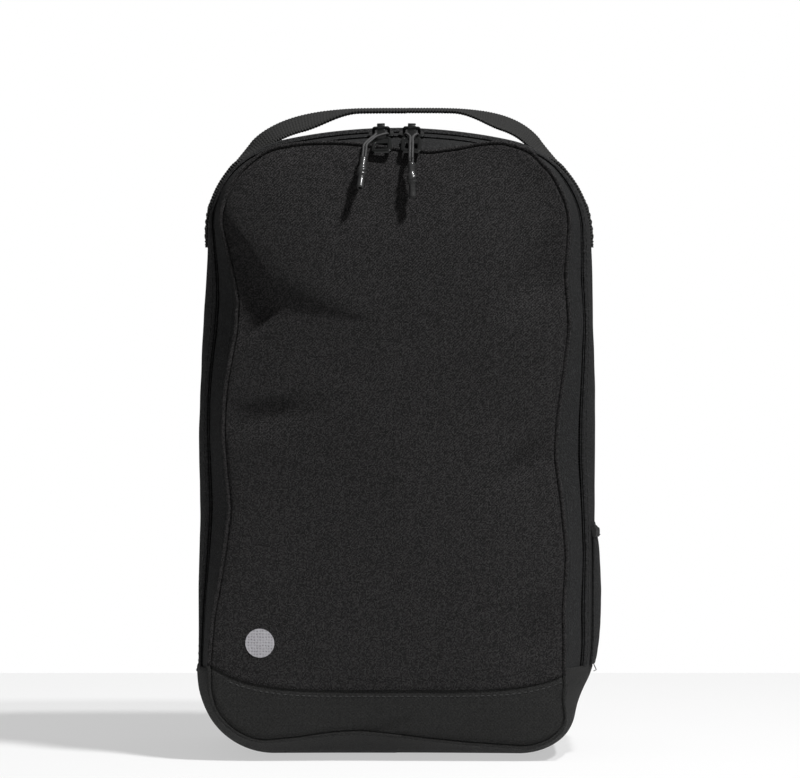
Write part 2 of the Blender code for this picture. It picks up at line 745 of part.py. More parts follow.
def make_handle():
    """The two sewn-down tails and the free arch between them."""
    overshoot = 0.004
    right = tail_path()
    x, z = right[-1]
    right.append((x - overshoot, z + overshoot * math.tan(LIFT_OFF)))
    left = [(-x, z) for x, z in reversed(right)]
    trim_at(ribbon("handle_tail_right", list(reversed(right)), webbing()),
            HANDLE_X + GAP / 2, True)
    trim_at(ribbon("handle_tail_left", list(reversed(left)), webbing()),
            -HANDLE_X - GAP / 2, False)
    sway = pivot("pivot_handle", Matrix.Translation((0, WEB_Y, handle_end_z())))
    arch = arch_path()
    reach, low = arch[0]
    below = (reach - overshoot, low - overshoot * math.tan(LIFT_OFF))
    path = [below] + arch + [(-below[0], below[1])]
    strap = ribbon("handle_strap", path, webbing(), sway)
    trim_at(strap, -HANDLE_X + GAP / 2, True)
    trim_at(strap, HANDLE_X - GAP / 2, False)


# ---------------------------------------------------------------- pocket and emblem
def pocket_rows(low, high, lift, count):
    """Rows up the pocket's bulging face, between two heights."""
    middle = (POCKET_FRONT + POCKET_BACK) / 2
    half = (POCKET_BACK - POCKET_FRONT) / 2
    rows = []
    for z in spread(high, low, count):
        rise = 1 - max(0.0, (POCKET_TOP - z) / (POCKET_TOP - POCKET_LOW)) ** 3
        row = []
        for y in spread(POCKET_FRONT, POCKET_BACK, 13):
            bow = 1 - abs((y - middle) / half) ** 4
            face = HALF_WIDTH - inset(y, 0) + GAP + POCKET_WALL
            row.append((face + POCKET_BULGE * rise * bow + lift, y, z))
        rows.append(row)
    return rows


def make_pocket():
    """The slip pocket on the right side and the tape that binds its mouth."""
    strip("side_pocket", pocket_rows(POCKET_LOW, POCKET_TOP, 0.0, 9), POCKET_WALL, dobby())
    low = POCKET_TOP + GAP
    lift = 0.0003
    strip("pocket_binding", pocket_rows(low, low + BINDING_HEIGHT, lift, 2),
          POCKET_WALL + lift, webbing())


def make_emblem(panel, flap):
    """A printed ball emblem low on the front panel."""
    bm = bmesh.new()
    bmesh.ops.create_circle(bm, cap_ends=True, segments=32, radius=EMBLEM_R)
    face = bm.faces[:]
    for _ in range(3):
        bmesh.ops.inset_region(bm, faces=face, thickness=EMBLEM_R / 4)
    upright = Matrix.Rotation(math.pi / 2, 4, "X")
    start = Matrix.Translation((EMBLEM_X, -PANEL_RIM_Y - 2 * FRONT_BULGE, EMBLEM_Z))
    bm.transform(start @ upright)
    obj = link("front_emblem", mesh_from(bm, "front_emblem"), print_ink(), flap)
    wrap = obj.modifiers.new("lie_on_panel", "SHRINKWRAP")
    wrap.target = panel
    wrap.wrap_method = "PROJECT"
    wrap.use_project_y = True
    wrap.use_positive_direction = True
    wrap.use_negative_direction = False
    wrap.offset = GAP
    solidify(obj, 0.0004, 1.0)


GUIDES = bpy.data.collections.new("guides")


def build():
    clear_scene()
    bpy.context.scene.collection.children.link(GUIDES)
    flap = pivot("pivot_flap", Matrix.Translation((0, FLAP_HINGE_Y, SPLIT_Z)))
    panel = make_panels(flap)
    make_gussets()
    make_bindings(flap)
    make_base_board()
    make_zip(flap)
    make_pulls(flap)
    make_handle()
    make_pocket()
    make_emblem(panel, flap)


build()
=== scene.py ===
"""Golf shoe bag: the visual model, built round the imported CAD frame."""
import math

import bmesh
import bpy
import numpy as np
from mathutils import Matrix, Vector, noise


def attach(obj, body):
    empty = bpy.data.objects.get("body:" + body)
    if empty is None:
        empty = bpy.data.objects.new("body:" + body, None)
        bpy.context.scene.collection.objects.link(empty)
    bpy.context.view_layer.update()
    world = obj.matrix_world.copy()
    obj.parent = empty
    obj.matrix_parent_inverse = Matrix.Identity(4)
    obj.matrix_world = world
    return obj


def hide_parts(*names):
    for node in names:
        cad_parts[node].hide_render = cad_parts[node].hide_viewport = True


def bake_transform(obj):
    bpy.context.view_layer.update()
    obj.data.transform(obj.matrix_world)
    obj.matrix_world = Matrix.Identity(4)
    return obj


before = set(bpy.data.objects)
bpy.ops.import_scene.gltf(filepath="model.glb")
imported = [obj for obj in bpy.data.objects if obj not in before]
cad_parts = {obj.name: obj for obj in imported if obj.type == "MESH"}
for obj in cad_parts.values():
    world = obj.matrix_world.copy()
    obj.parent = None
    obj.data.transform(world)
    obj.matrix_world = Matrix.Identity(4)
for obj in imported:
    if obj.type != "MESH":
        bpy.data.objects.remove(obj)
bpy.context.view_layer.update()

# ---- the bag's dimensions, in metres
CROWN_R = 0.296             # the arc of the top
CROWN_Z = 0.350 - CROWN_R
SHOULDER_R = 0.056          # the top corners
SHOULDER_X = 0.0515
SHOULDER_Z = CROWN_Z + math.sqrt((CROWN_R - SHOULDER_R) ** 2 - SHOULDER_X ** 2)
CROWN_ANGLE = math.atan2(SHOULDER_X, SHOULDER_Z - CROWN_Z)
SIDE_LEAN = math.radians(3.07)
TAPER_Z = 0.150             # above this height the sides lean in
LEAN_TOP_Z = SHOULDER_Z + SHOULDER_R * math.sin(SIDE_LEAN)
LEAN_CURVE = math.tan(SIDE_LEAN) / (2 * (LEAN_TOP_Z - TAPER_Z))
HALF_WIDTH = (SHOULDER_X + SHOULDER_R * math.cos(SIDE_LEAN)
              + LEAN_CURVE * (LEAN_TOP_Z - TAPER_Z) ** 2)
BASE_R = 0.043              # the bottom corners
SPLIT_Z = 0.050             # the base gusset's upper edge
HALF_DEPTH = 0.060
PLATEAU_FRONT = -0.025      # between these depths the gusset lies on the outline
PLATEAU_BACK = 0.035
FRONT_INSET = 0.0085        # how far it is drawn in at its front and back edges
BACK_INSET = 0.0070
CROWN_INSET_SHARE = 1.3     # at the crown the sliders weigh the gusset down
RIM_Y = 0.0617              # depth of the panels' seams
FRONT_BULGE = 0.0132
BACK_BULGE = 0.0040
SPINE = (0.100, 0.240)      # a panel's rings close on this span of height
GAP = 0.0003                # between pieces that touch
FABRIC = 0.0012
PANEL = 0.0013
LINING = 0.0008
ZIP_Y = -0.043              # middle of the zip
TAPE = 0.0008
TAPE_DEPTH = 0.0015         # the tape lies this far under the gusset's face
FOLD_Y = -0.0366            # the gusset's folded front edge


def bell(value, centre, width):
    return np.exp(-((value - centre) / width) ** 2)


def ease(value, low, high):
    t = np.clip((value - low) / (high - low), 0, 1)
    return t * t * (3 - 2 * t)


# ---- outline
def run_length(points):
    """Distance along a line of points, from its start to each of them."""
    return np.concatenate(([0], np.cumsum(np.linalg.norm(np.diff(points, axis=0), axis=1))))


def side_x(z):
    """Half width of the sides, which lean in above the taper."""
    return HALF_WIDTH - LEAN_CURVE * (z - TAPER_Z) ** 2


def right_half():
    """Dense points from the middle of the crown to the middle of the base: x, z, nx, nz."""
    def bend(x, z, radius, start, end, count):
        return [(x + radius * math.sin(a), z + radius * math.cos(a), math.sin(a), math.cos(a))
                for a in np.linspace(start, end, count, endpoint=False)]
    rows = bend(0, CROWN_Z, CROWN_R, 0, CROWN_ANGLE, 70)
    rows += bend(SHOULDER_X, SHOULDER_Z, SHOULDER_R, CROWN_ANGLE, math.pi / 2 - SIDE_LEAN, 70)
    for z in np.linspace(LEAN_TOP_Z, TAPER_Z, 120, endpoint=False):
        lean = math.atan(2 * LEAN_CURVE * (z - TAPER_Z))
        rows.append((side_x(z), z, math.cos(lean), math.sin(lean)))
    rows += [(HALF_WIDTH, z, 1.0, 0.0) for z in np.linspace(TAPER_Z, BASE_R, 80, endpoint=False)]
    rows += bend(HALF_WIDTH - BASE_R, BASE_R, BASE_R, math.pi / 2, math.pi, 60)
    rows += [(x, 0.0, 0.0, -1.0) for x in np.linspace(HALF_WIDTH - BASE_R, 0, 50)]
    return np.array(rows)


HALF = right_half()
HALF_ARC = run_length(HALF[:, :2])
HALF_LENGTH = HALF_ARC[-1]
SPLIT_ARC = float(np.interp(-SPLIT_Z, -HALF[:, 1][HALF[:, 1] > 0.002],
                            HALF_ARC[HALF[:, 1] > 0.002]))


def sag(side, z):
    """How far the soft sides have settled in from the even outline."""
    left = 0.0028 * bell(z, 0.268, 0.045) + 0.0012 * bell(z, 0.150, 0.060)
    right = 0.0074 * bell(z, 0.029, 0.017) - 0.0008 * bell(z, 0.268, 0.050)
    return np.where(side < 0, left, right)


def section(arc):
    """Outline by arc length from the crown's middle, right side positive: x, z, nx, nz."""
    arc = (np.asarray(arc, float) + HALF_LENGTH) % (2 * HALF_LENGTH) - HALF_LENGTH
    side = np.where(arc < 0, -1.0, 1.0)
    x, z, nx, nz = (np.interp(np.abs(arc), HALF_ARC, HALF[:, k]) for k in range(4))
    drawn = sag(side, z)
    return (x - nx * drawn) * side, z - nz * drawn * 0.3, nx * side, nz


# How far the front seam lies in from the outline, at a few heights up the sides and a few places
# across the top and the base.
LEFT_SEAM = ((0.012, 0.0085), (0.020, 0.0077), (0.032, 0.0077), (0.055, 0.0075), (0.080, 0.0095),
             (0.108, 0.0142), (0.140, 0.0180), (0.160, 0.0158), (0.182, 0.0142), (0.206, 0.0152),
             (0.236, 0.0190), (0.256, 0.0188), (0.275, 0.0140), (0.300, 0.0078), (0.325, 0.0062),
             (0.345, 0.0062))
RIGHT_SEAM = ((0.012, 0.0062), (0.022, 0.0076), (0.038, 0.0122), (0.052, 0.0178), (0.083, 0.0188),
              (0.113, 0.0168), (0.143, 0.0198), (0.168, 0.0232), (0.190, 0.0218), (0.215, 0.0180),
              (0.240, 0.0146), (0.269, 0.0160), (0.298, 0.0120), (0.318, 0.0094), (0.345, 0.0060))
TOP_SEAM = ((-0.085, 0.0052), (-0.071, 0.0040), (-0.054, 0.0046), (-0.032, 0.0073),
            (-0.010, 0.0111), (0.004, 0.0131), (0.020, 0.0135), (0.035, 0.0102), (0.047, 0.0060),
            (0.058, 0.0031), (0.075, 0.0034), (0.085, 0.0060))
BASE_SEAM = ((-0.100, 0.0085), (-0.077, 0.0098), (-0.055, 0.0119), (-0.037, 0.0147),
             (-0.0195, 0.0158), (-0.001, 0.0136), (0.019, 0.0111), (0.041, 0.0089), (0.071, 0.0069),
             (0.100, 0.0062))


def along(points, value):
    """A smooth line through a few given points."""
    keys, values = np.array(points).T
    fine = np.linspace(keys[0], keys[-1], 240)
    line = np.interp(fine, keys, values)
    kernel = np.hanning(15)
    padded = np.pad(line, 7, mode="edge")
    line = np.convolve(padded, kernel / kernel.sum(), mode="valid")
    return np.interp(value, fine, line)


def front_edge(x, z, nz):
    """How far the wandering front seam is drawn in from the outline."""
    side = np.where(x < 0, along(LEFT_SEAM, z), along(RIGHT_SEAM, z))
    upper = ease(nz, 0.55, 0.90)
    lower = ease(-nz, 0.45, 0.90)
    edge = side * (1 - upper - lower) + along(TOP_SEAM, x) * upper
    return edge + along(BASE_SEAM, x) * lower


def inset(y, x, z, nz, tape_step=0.0):
    """How far the gusset's face is drawn in at depth y."""
    share = 1 + (CROWN_INSET_SHARE - 1) * ease(nz, 0.80, 0.97)
    back_share = 1 - 0.3 * np.maximum(0, nz) ** 2
    part = np.clip((PLATEAU_FRONT - y) / (HALF_DEPTH + PLATEAU_FRONT), 0, 1)
    begin = PLATEAU_FRONT - 0.0199 * np.clip(nz, 0, 1) ** 4
    portion = np.clip((begin - y) / (HALF_DEPTH + begin), 0, 1) ** 1.3
    extra = front_edge(x, z, nz) - TAPE_DEPTH - FRONT_INSET * share
    back = np.clip((y - PLATEAU_BACK) / (HALF_DEPTH - PLATEAU_BACK), 0, 1)
    return ((FRONT_INSET * share + tape_step) * part ** 1.6 + extra * portion
            + BACK_INSET * back_share * back ** 1.8)


def wander(points, size, seed):
    """Smooth seeded noise at each point, about -1 to 1."""
    shift = Vector((seed * 7.3, seed * 3.1, seed * 5.7))
    return np.array([noise.noise(Vector(p) / size + shift) for p in points])


# ---- mesh building
def linked(name, mesh):
    """A new object of a mesh, in the scene."""
    obj = bpy.data.objects.new(name, mesh)
    bpy.context.scene.collection.objects.link(obj)
    return obj


def make_object(name, verts, faces, cloth=None):
    mesh = bpy.data.meshes.new(name)
    mesh.from_pydata(np.asarray(verts).tolist(), [], [list(f) for f in faces])
    if cloth is not None:
        store_cloth(mesh, cloth)
    mesh.validate()
    return linked(name, mesh)


def edit(obj, work):
    """Do some bmesh work on an object's mesh."""
    bm = bmesh.new()
    bm.from_mesh(obj.data)
    work(bm)
    bm.to_mesh(obj.data)
    bm.free()


def store_cloth(mesh, cloth):
    """Rest place on the cloth, in metres: along and across."""
    flat = np.zeros((len(mesh.vertices), 3), np.float32)
    flat[:, :2] = np.asarray(cloth)[:, :2]
    layer = mesh.attributes.get("cloth") or mesh.attributes.new("cloth", "FLOAT_VECTOR", "POINT")
    layer.data.foreach_set("vector", flat.ravel())


def grid_faces(rows, cols, closed=False):
    faces = []
    for r in range(rows - 1):
        for c in range(cols if closed else cols - 1):
            d = (c + 1) % cols
            faces.append((r * cols + c, (r + 1) * cols + c, (r + 1) * cols + d, r * cols + d))
    return faces


def tube_faces(rings, around, base=0):
    """The faces of a closed tube of rings of points, with its two flat ends."""
    faces = []
    for low in range(base, base + (rings - 1) * around, around):
        for k in range(around):
            b = (k + 1) % around
            faces.append((low + k, low + b, low + around + b, low + around + k))
    faces.append(tuple(base + k for k in reversed(range(around))))
    faces.append(tuple(base + (rings - 1) * around + k for k in range(around)))
    return faces


def tube(name, verts, rings, cloth, angle=60):
    """A closed tube of rings of points, its faces turned outward."""
    obj = make_object(name, verts, tube_faces(rings, len(verts) // rings), cloth)
    edit(obj, lambda bm: bmesh.ops.recalc_face_normals(bm, faces=bm.faces))
    shade(obj, angle)
    return obj


def shade(obj, degrees=40):
    obj.data.shade_smooth()
    obj.data.set_sharp_from_angle(angle=math.radians(degrees))


def thicken(obj, thickness):
    """Give a sheet its thickness, inward from the side its normals face."""
    mod = obj.modifiers.new("thickness", "SOLIDIFY")
    mod.thickness = thickness
    mod.offset = -1.0
    mod.use_quality_normals = True
    bpy.context.view_layer.update()
    solid = obj.evaluated_get(bpy.context.evaluated_depsgraph_get())
    mesh = bpy.data.meshes.new_from_object(solid)
    obj.modifiers.clear()
    old = obj.data
    obj.data = mesh
    bpy.data.meshes.remove(old)
    mesh.name = obj.name


def face_out(obj):
    """Turn an open sheet's normals away from the middle of the bag."""
    middle = Vector((0, 0, 0.17))

    def turn(bm):
        some = list(bm.faces)[::37]
        if sum(f.normal.dot(f.calc_center_median() - middle) for f in some) < 0:
            bmesh.ops.reverse_faces(bm, faces=bm.faces)
    edit(obj, turn)


def place(obj, mat, body, slot, *stands_for):
    """Material, slot (not used), replaced nodes, and the body it rides on, or the flap's hinge fold.
    """
    obj.data.materials.clear()
    obj.data.materials.append(mat)
    if stands_for:
        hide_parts(*stands_for)
    if body == "flap_fold":
        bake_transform(obj)
    else:
        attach(obj, body)
    return obj


# ---- materials
class Net:
    """Short ways to add shader nodes to one material."""

    def __init__(self, name, roughness, metallic=0.0, sheen=0.0, coat=0.0, specular=0.5):
        self.mat = bpy.data.materials.new(name)
        self.mat.use_nodes = True
        self.tree = self.mat.node_tree
        self.bsdf = self.tree.nodes["Principled BSDF"]
        self.set({"Roughness": roughness, "Metallic": metallic, "Sheen Weight": sheen,
                  "Coat Weight": coat, "Specular IOR Level": specular})

    def set(self, values):
        for key, value in values.items():
            self.bsdf.inputs[key].default_value = value

    def node(self, kind, inputs=(), **settings):
        made = self.tree.nodes.new(kind)
        for key, value in settings.items():
            setattr(made, key, value)
        for key, value in dict(inputs).items():
            if isinstance(value, bpy.types.NodeSocket):
                self.tree.links.new(value, made.inputs[key])
            else:
                made.inputs[key].default_value = value
        return made

    def math(self, operation, *values):
        return self.node("ShaderNodeMath", dict(enumerate(values)), operation=operation).outputs[0]

    def cloth(self):
        read = self.node("ShaderNodeAttribute", attribute_name="cloth")
        split = self.node("ShaderNodeSeparateXYZ", {0: read.outputs["Vector"]})
        return split.outputs[0], split.outputs[1]

    def join(self, u, v):
        return self.node("ShaderNodeCombineXYZ", {0: u, 1: v}).outputs[0]

    def noise(self, vector, scale, detail=2.0, rough=0.5):
        return self.node("ShaderNodeTexNoise", {"Vector": vector, "Scale": scale, "Detail": detail,
                                                "Roughness": rough}).outputs["Fac"]

    def object_vector(self):
        return self.node("ShaderNodeTexCoord").outputs["Object"]

    def ramp(self, factor, stops):
        made = self.node("ShaderNodeValToRGB", {"Fac": factor})
        ramp = made.color_ramp
        while len(ramp.elements) < len(stops):
            ramp.elements.new(0.5)
        for element, (position, colour) in zip(ramp.elements, stops):
            element.position = position
            element.color = (*colour, 1.0)
        return made.outputs["Color"]

    def spread(self, value, low, high):
        """Maps 0..1 to low..high."""
        return self.math("MULTIPLY_ADD", value, high - low, low)

    def finish(self, colour, height=None, depth=0.0002, strength=0.7, roughness=None):
        self.tree.links.new(colour, self.bsdf.inputs["Base Color"])
        if roughness is not None:
            self.tree.links.new(roughness, self.bsdf.inputs["Roughness"])
        if height is not None:
            lift = self.node("ShaderNodeBump", {"Height": height, "Strength": strength,
                                                "Distance": depth})
            self.tree.links.new(lift.outputs["Normal"], self.bsdf.inputs["Normal"])
        return self.mat


def thread_profile(net, value):
    """A rounded thread, 0 at its edges and 1 along its middle."""
    part = net.math("SUBTRACT", net.math("FRACT", value), 0.5)
    return net.math("COSINE", net.math("MULTIPLY", part, math.pi))


def weave(net, pitch, kind):
    """Height of a woven cloth, a random number for each crossing, and the place on the cloth."""
    u, v = net.cloth()
    i = net.math("DIVIDE", u, pitch)
    j = net.math("DIVIDE", v, pitch)
    block = 2.0 if kind == "basket" else 1.0
    fi = net.math("FLOOR", net.math("DIVIDE", i, block))
    fj = net.math("FLOOR", net.math("DIVIDE", j, block))
    if kind == "twill":
        turn = net.math("FLOORED_MODULO", net.math("SUBTRACT", fi, fj), 3.0)
    else:
        turn = net.math("FLOORED_MODULO", net.math("ADD", fi, fj), 2.0)
    over = net.math("LESS_THAN", turn, 0.5)
    under = net.math("SUBTRACT", 1.0, over)
    height = net.math("ADD", net.math("MULTIPLY", over, thread_profile(net, j)),
                      net.math("MULTIPLY", under, thread_profile(net, i)))
    random = net.node("ShaderNodeTexWhiteNoise", {"Vector": net.join(fi, fj)},
                      noise_dimensions="2D").outputs["Value"]
    return height, random, net.join(u, v)


def grey(level, tint=(1.0, 1.0, 1.0)):
    return tuple(level * t for t in tint)


def cloth_material(name, level, pitch, kind, contrast, grain, tint, depth, roughness=0.85,
                   random_share=0.5, painted_glint_share=0.0):
    """A woven polyester: thread relief, uneven thread brightness that is partly painted highlight,
    slow colour drift and a few painted thread glints.
    """
    net = Net(name, roughness, sheen=0.02, specular=0.22)
    height, random, spot = weave(net, pitch, kind)
    fine = net.noise(spot, 1050.0, 2.0, 0.75)
    slow = net.noise(spot, 18.0, 3.0)
    tone = net.math("MULTIPLY", height, contrast)
    # The fine and per-crossing tone is partly uneven thread tone and partly painted highlight that
    # stands for glints of lit threads.
    for value, share in ((fine, grain * 4.0), (random, grain * random_share), (slow, 0.22)):
        tone = net.math("ADD", tone, net.math("MULTIPLY", net.math("SUBTRACT", value, 0.5), share))
    # Painted highlight: a share of the crossings, picked at random, is made brighter in the colour as
    # thread glints.
    if painted_glint_share:
        painted_glint_mask = net.math("GREATER_THAN", random, 1 - painted_glint_share)
        tone = net.math("ADD", tone, net.math("MULTIPLY", painted_glint_mask, 0.5))
    tone = net.math("ADD", tone, 0.5 - contrast * 0.64)
    colour = net.ramp(tone, [(0.0, grey(level * 0.22, tint)), (0.5, grey(level * 0.95, tint)),
                             (1.0, grey(level * 2.9, tint))])
    relief = net.math("ADD", height, net.math("MULTIPLY", fine, 2.8))
    relief = net.math("ADD", relief, net.math("MULTIPLY", random, random_share * 1.2))
    rough = net.spread(height, roughness + 0.08, roughness - 0.06)
    return net.finish(colour, relief, depth, 1.0, rough)


def web_material():
    """Nylon webbing, its ribs in the mesh and its threads here."""
    net = Net("mat_webbing", 0.62, sheen=0.03, specular=0.3)
    u, v = net.cloth()
    thread = net.math("SINE", net.math("MULTIPLY", v, 2 * math.pi / 0.0011))
    cross = net.math("SINE", net.math("MULTIPLY", u, 2 * math.pi / 0.0007))
    weave_height = net.math("MULTIPLY", thread, cross)
    fine = net.noise(net.join(u, v), 900.0, 2.0, 0.6)
    tone = net.math("ADD", net.spread(weave_height, 0.30, 0.52), net.math("MULTIPLY", fine, 0.36))
    colour = net.ramp(tone, [(0.2, grey(0.006)), (0.6, grey(0.018, (1.0, 1.0, 0.95))),
                             (1.0, grey(0.050, (1.05, 1.0, 0.9)))])
    return net.finish(colour, weave_height, 0.00015, 0.6)


def plastic_material(name, level, roughness, metallic=0.0, coat=0.0, grain=900.0, depth=0.00003,
                     tint=(1, 1, 1)):
    """Moulded or enamelled surface: fine grain, scuffs and uneven gloss."""
    net = Net(name, roughness, metallic=metallic, coat=coat)
    vector = net.object_vector()
    fine = net.noise(vector, grain)
    scuff = net.noise(vector, 240.0, 4.0, 0.6)
    colour = net.ramp(scuff, [(0.3, grey(level * 0.7, tint)), (0.62, grey(level, tint)),
                              (0.78, grey(level * 1.8, tint))])
    return net.finish(colour, fine, depth, 0.5, net.spread(scuff, roughness - 0.08,
                                                           roughness + 0.16))


def thread_material(name, level):
    """Twisted sewing thread."""
    net = Net(name, 0.55, sheen=0.05, specular=0.4)
    u, v = net.cloth()
    twist = net.math("SINE", net.math("MULTIPLY", net.math("ADD", u, net.math("MULTIPLY", v, 0.6)),
                                      2 * math.pi / 0.0005))
    colour = net.ramp(net.spread(twist, 0.4, 0.7), [(0.2, grey(level * 0.5)), (0.8, grey(level))])
    return net.finish(colour, twist, 0.00006, 0.5)


def emblem_material():
    """Screen print: a pale ball with the fabric showing through a little."""
    net = Net("mat_emblem", 0.55, specular=0.3)
    u, v = net.cloth()
    cell = net.node("ShaderNodeTexVoronoi", {"Vector": net.join(u, v), "Scale": 620.0,
                                             "Randomness": 0.25}).outputs["Distance"]
    fine = net.noise(net.join(u, v), 1100.0, 2.0, 0.7)
    tone = net.math("ADD", net.math("MULTIPLY", cell, 0.8), net.math("MULTIPLY", fine, 0.35))
    colour = net.ramp(tone, [(at, grey(level, (1, 0.98, 1.04))) for at, level in
                             ((0.25, 0.20), (0.42, 0.42), (0.8, 0.52))])
    return net.finish(colour, cell, 0.00025, 0.8)


TWILL = cloth_material("mat_twill", 0.0172, 0.00062, "twill", 0.75, 0.50, (1.04, 0.98, 1.0),
                       0.00075, random_share=2.2, painted_glint_share=0.04)
BALLISTIC = cloth_material("mat_ballistic", 0.0160, 0.00064, "basket", 1.10, 0.35,
                           (1.0, 1.0, 0.97), 0.00055, random_share=0.4)
DOBBY = cloth_material("mat_dobby", 0.0118, 0.00075, "plain", 0.55, 0.50, (0.99, 1.0, 1.03),
                       0.00040, painted_glint_share=0.03)
LINER = cloth_material("mat_lining", 0.0100, 0.00045, "plain", 0.35, 0.35, (1, 1, 1.03), 0.00010,
                       roughness=0.7)
TAPE_CLOTH = cloth_material("mat_zip_tape", 0.0132, 0.00066, "twill", 0.50, 0.50, (0.98, 1.0, 1.03),
                            0.00050, random_share=0.9, painted_glint_share=0.03)
WEBBING = web_material()
COIL = plastic_material("mat_coil", 0.007, 0.38)
ENAMEL = plastic_material("mat_enamel", 0.0065, 0.30, 0.5, 0.3, 700.0, 0.00004, (0.95, 1.05, 1.0))
CORD = thread_material("mat_cord", 0.050)
RUBBER = plastic_material("mat_grip", 0.030, 0.26, 0.0, 0.2, 1500.0, 0.00003)
BOARD = plastic_material("mat_board", 0.012, 0.60, 0.0, 0.0, 1600.0, 0.00010)
THREAD = thread_material("mat_thread", 0.022)
PALE_THREAD = thread_material("mat_pale_thread", 0.060)
PRINT = emblem_material()


# ---- stitches
def stitches(name, path, outward, body, slot="webbing", mat=THREAD, length=0.0026, pitch=0.0040,
             radius=0.00030):
    """A row of separate stitches along a path, sunk at their ends."""
    path = np.asarray(path, float)
    outward = np.asarray(outward, float)
    arc = run_length(path)
    rings, around = 5, 6

    def at(values, s):
        return np.array([np.interp(s, arc, values[:, k]) for k in range(3)])
    verts, faces, cloth = [], [], []
    for start in np.arange(pitch / 2, arc[-1] - length, pitch):
        faces += tube_faces(rings, around, len(verts))
        for t in np.linspace(0, 1, rings):
            s = start + length * t
            point = at(path, s)
            ahead = at(path, s + 1e-4) - point
            ahead /= max(np.linalg.norm(ahead), 1e-9)
            up = at(outward, s)
            up -= ahead * (up @ ahead)
            up /= max(np.linalg.norm(up), 1e-9)
            side = np.cross(ahead, up)
            swell = math.sin(math.pi * (0.12 + 0.76 * t))
            lift = radius * (1.1 * swell - 0.5)
            for a in np.arange(around) * 2 * math.pi / around:
                verts.append(point + up * (lift + radius * swell * math.sin(a))
                             + side * radius * swell * math.cos(a))
                cloth.append((s, a * radius))
    obj = make_object(name, verts, faces, cloth)
    shade(obj, 60)
    return place(obj, mat, body, slot)


# ---- front and back panels
RING = 720
SHARES = np.concatenate(([1.0, 0.9965, 0.9930], 1 - np.linspace(0, 1, 67)[1:-1] ** 1.1, [0.010]))
BEAD = 0.0010             # the seam's rolled edge
BEAD_TURNS = (100, 75, 50, 25, 0, -25, -55)
GROOVE = 0.0011           # the seam's crease just inside it


def fold_wedge(x, z):
    """The creased triangle under the left shoulder: a dark facet above a sharp ridge."""
    dx = x + 0.0620
    dz = z - 0.2545
    r = np.hypot(dx, dz)
    angle = np.degrees(np.arctan2(dz, dx)) % 360
    deep = 0.0300 * ease(r, 0.0, 0.036)
    across = np.clip((angle - 122) / (217 - 122), 0, 1)
    past = np.clip(angle - 217, 0, 180) * np.pi / 180 * r
    inside = across ** 1.2 * (angle < 217) + np.exp(-(past / 0.0034) ** 2) * (angle >= 217)
    return deep * inside * ease(angle, 95, 128)


def trough(x, z, centre, heading, length, width):
    """A soft crease, 1 along its middle, on a heading in degrees from +x."""
    a = math.radians(heading)
    dx, dz = x - centre[0], z - centre[1]
    run = dx * math.cos(a) + dz * math.sin(a)
    across = dz * math.cos(a) - dx * math.sin(a)
    return np.exp(-(run / length) ** 2 - (across / width) ** 2)


CREASES = (   # depth into the bag, middle, heading, half length and half width of each
    (0.0200, (0.0860, 0.2760), 52, 0.022, 0.0095), (-0.0016, (0.0850, 0.2600), 30, 0.018, 0.0060),
    (0.0070, (0.0740, 0.1660), 35, 0.019, 0.0060), (-0.0010, (0.0790, 0.1600), 35, 0.016, 0.0060),
    (0.0060, (0.0760, 0.0720), 55, 0.017, 0.0085), (-0.0020, (-0.0880, 0.1300), 70, 0.011, 0.0070),
    (0.0040, (-0.0760, 0.1900), 8, 0.026, 0.0070), (0.0026, (0.0290, 0.3270), 47, 0.012, 0.0034))


def front_relief(x, z):
    """Sag, dents and folds of the front panel; positive is into the bag."""
    y = fold_wedge(x, z)
    y += 0.0100 * ease(x, 0.000, 0.100) * ease(z, 0.235, 0.345)
    for depth, *where in CREASES:
        y += depth * trough(x, z, *where)
    y += 0.0034 * bell(z, 0.312, 0.020) * bell(x, 0.004, 0.036)
    y += 0.0008 * np.sin(x / 0.021 + 1.0) * np.sin(z / 0.034 + 0.4)
    return y


def accent_relief(x, z):
    """A crease low on the accent band, and its hanging folds."""
    line = (x + 0.010) * 0.42 - (z - 0.0145) * 0.91
    span = (x + 0.010) * 0.91 + (z - 0.0145) * 0.42
    y = 0.0016 * np.exp(-(line / 0.0028) ** 2 - (span / 0.017) ** 2)
    line = (x - 0.094) * 0.97 + (z - 0.024) * 0.22
    return y + 0.0018 * np.exp(-(line / 0.0040) ** 2) * ease(z, 0.005, 0.02)


def seam_height(x):
    return 0.0395 + 0.0090 * np.minimum(np.abs(x / 0.095), 1.1) ** 5


def panel_points(front, extra_inset=0.0, behind=0.0):
    """Rings of points of a panel, from its rolled edge to its spine."""
    arc = np.arange(RING) / RING * 2 * HALF_LENGTH
    x, z, nx, nz = section(arc)
    if front:
        rim = front_edge(x, z, nz)
        bulge = FRONT_BULGE
        shoulder = ease(z, 0.250, 0.290)
        power = 2.5 + 0.8 * shoulder - 0.9 * ease(-nx, 0.2, 0.9) * (1 - shoulder)
    else:
        rim = BACK_INSET * (1 - 0.3 * np.maximum(0, nz) ** 2)
        bulge = BACK_BULGE
        power = 2.4
    rings = []
    if not extra_inset:
        for degrees in BEAD_TURNS:
            a = math.radians(degrees)
            out = rim - BEAD * math.sin(a)
            y = RIM_Y - BEAD * (1 - math.cos(a))
            rings.append(np.stack((x - nx * out, np.full(RING, y), z - nz * out), 1))
    rim = rim + extra_inset + BEAD * 1.35
    for share in SHARES:
        rx = x - nx * rim
        rz = z - nz * rim
        spine = np.clip(rz, *SPINE)
        at_z = spine + (rz - spine) * share
        height = bulge * np.maximum(0.0, 1 - share ** power) ** 0.85
        if front:
            height = height * (0.48 + 0.52 * ease(at_z, 0.015, 0.125))
        sunk = 0.0 if extra_inset else GROOVE * math.exp(-(1 - share) / 0.007)
        face = np.full(RING, RIM_Y - behind - sunk) + height
        rings.append(np.stack((rx * share, face, at_z), 1))
    return np.array(rings)


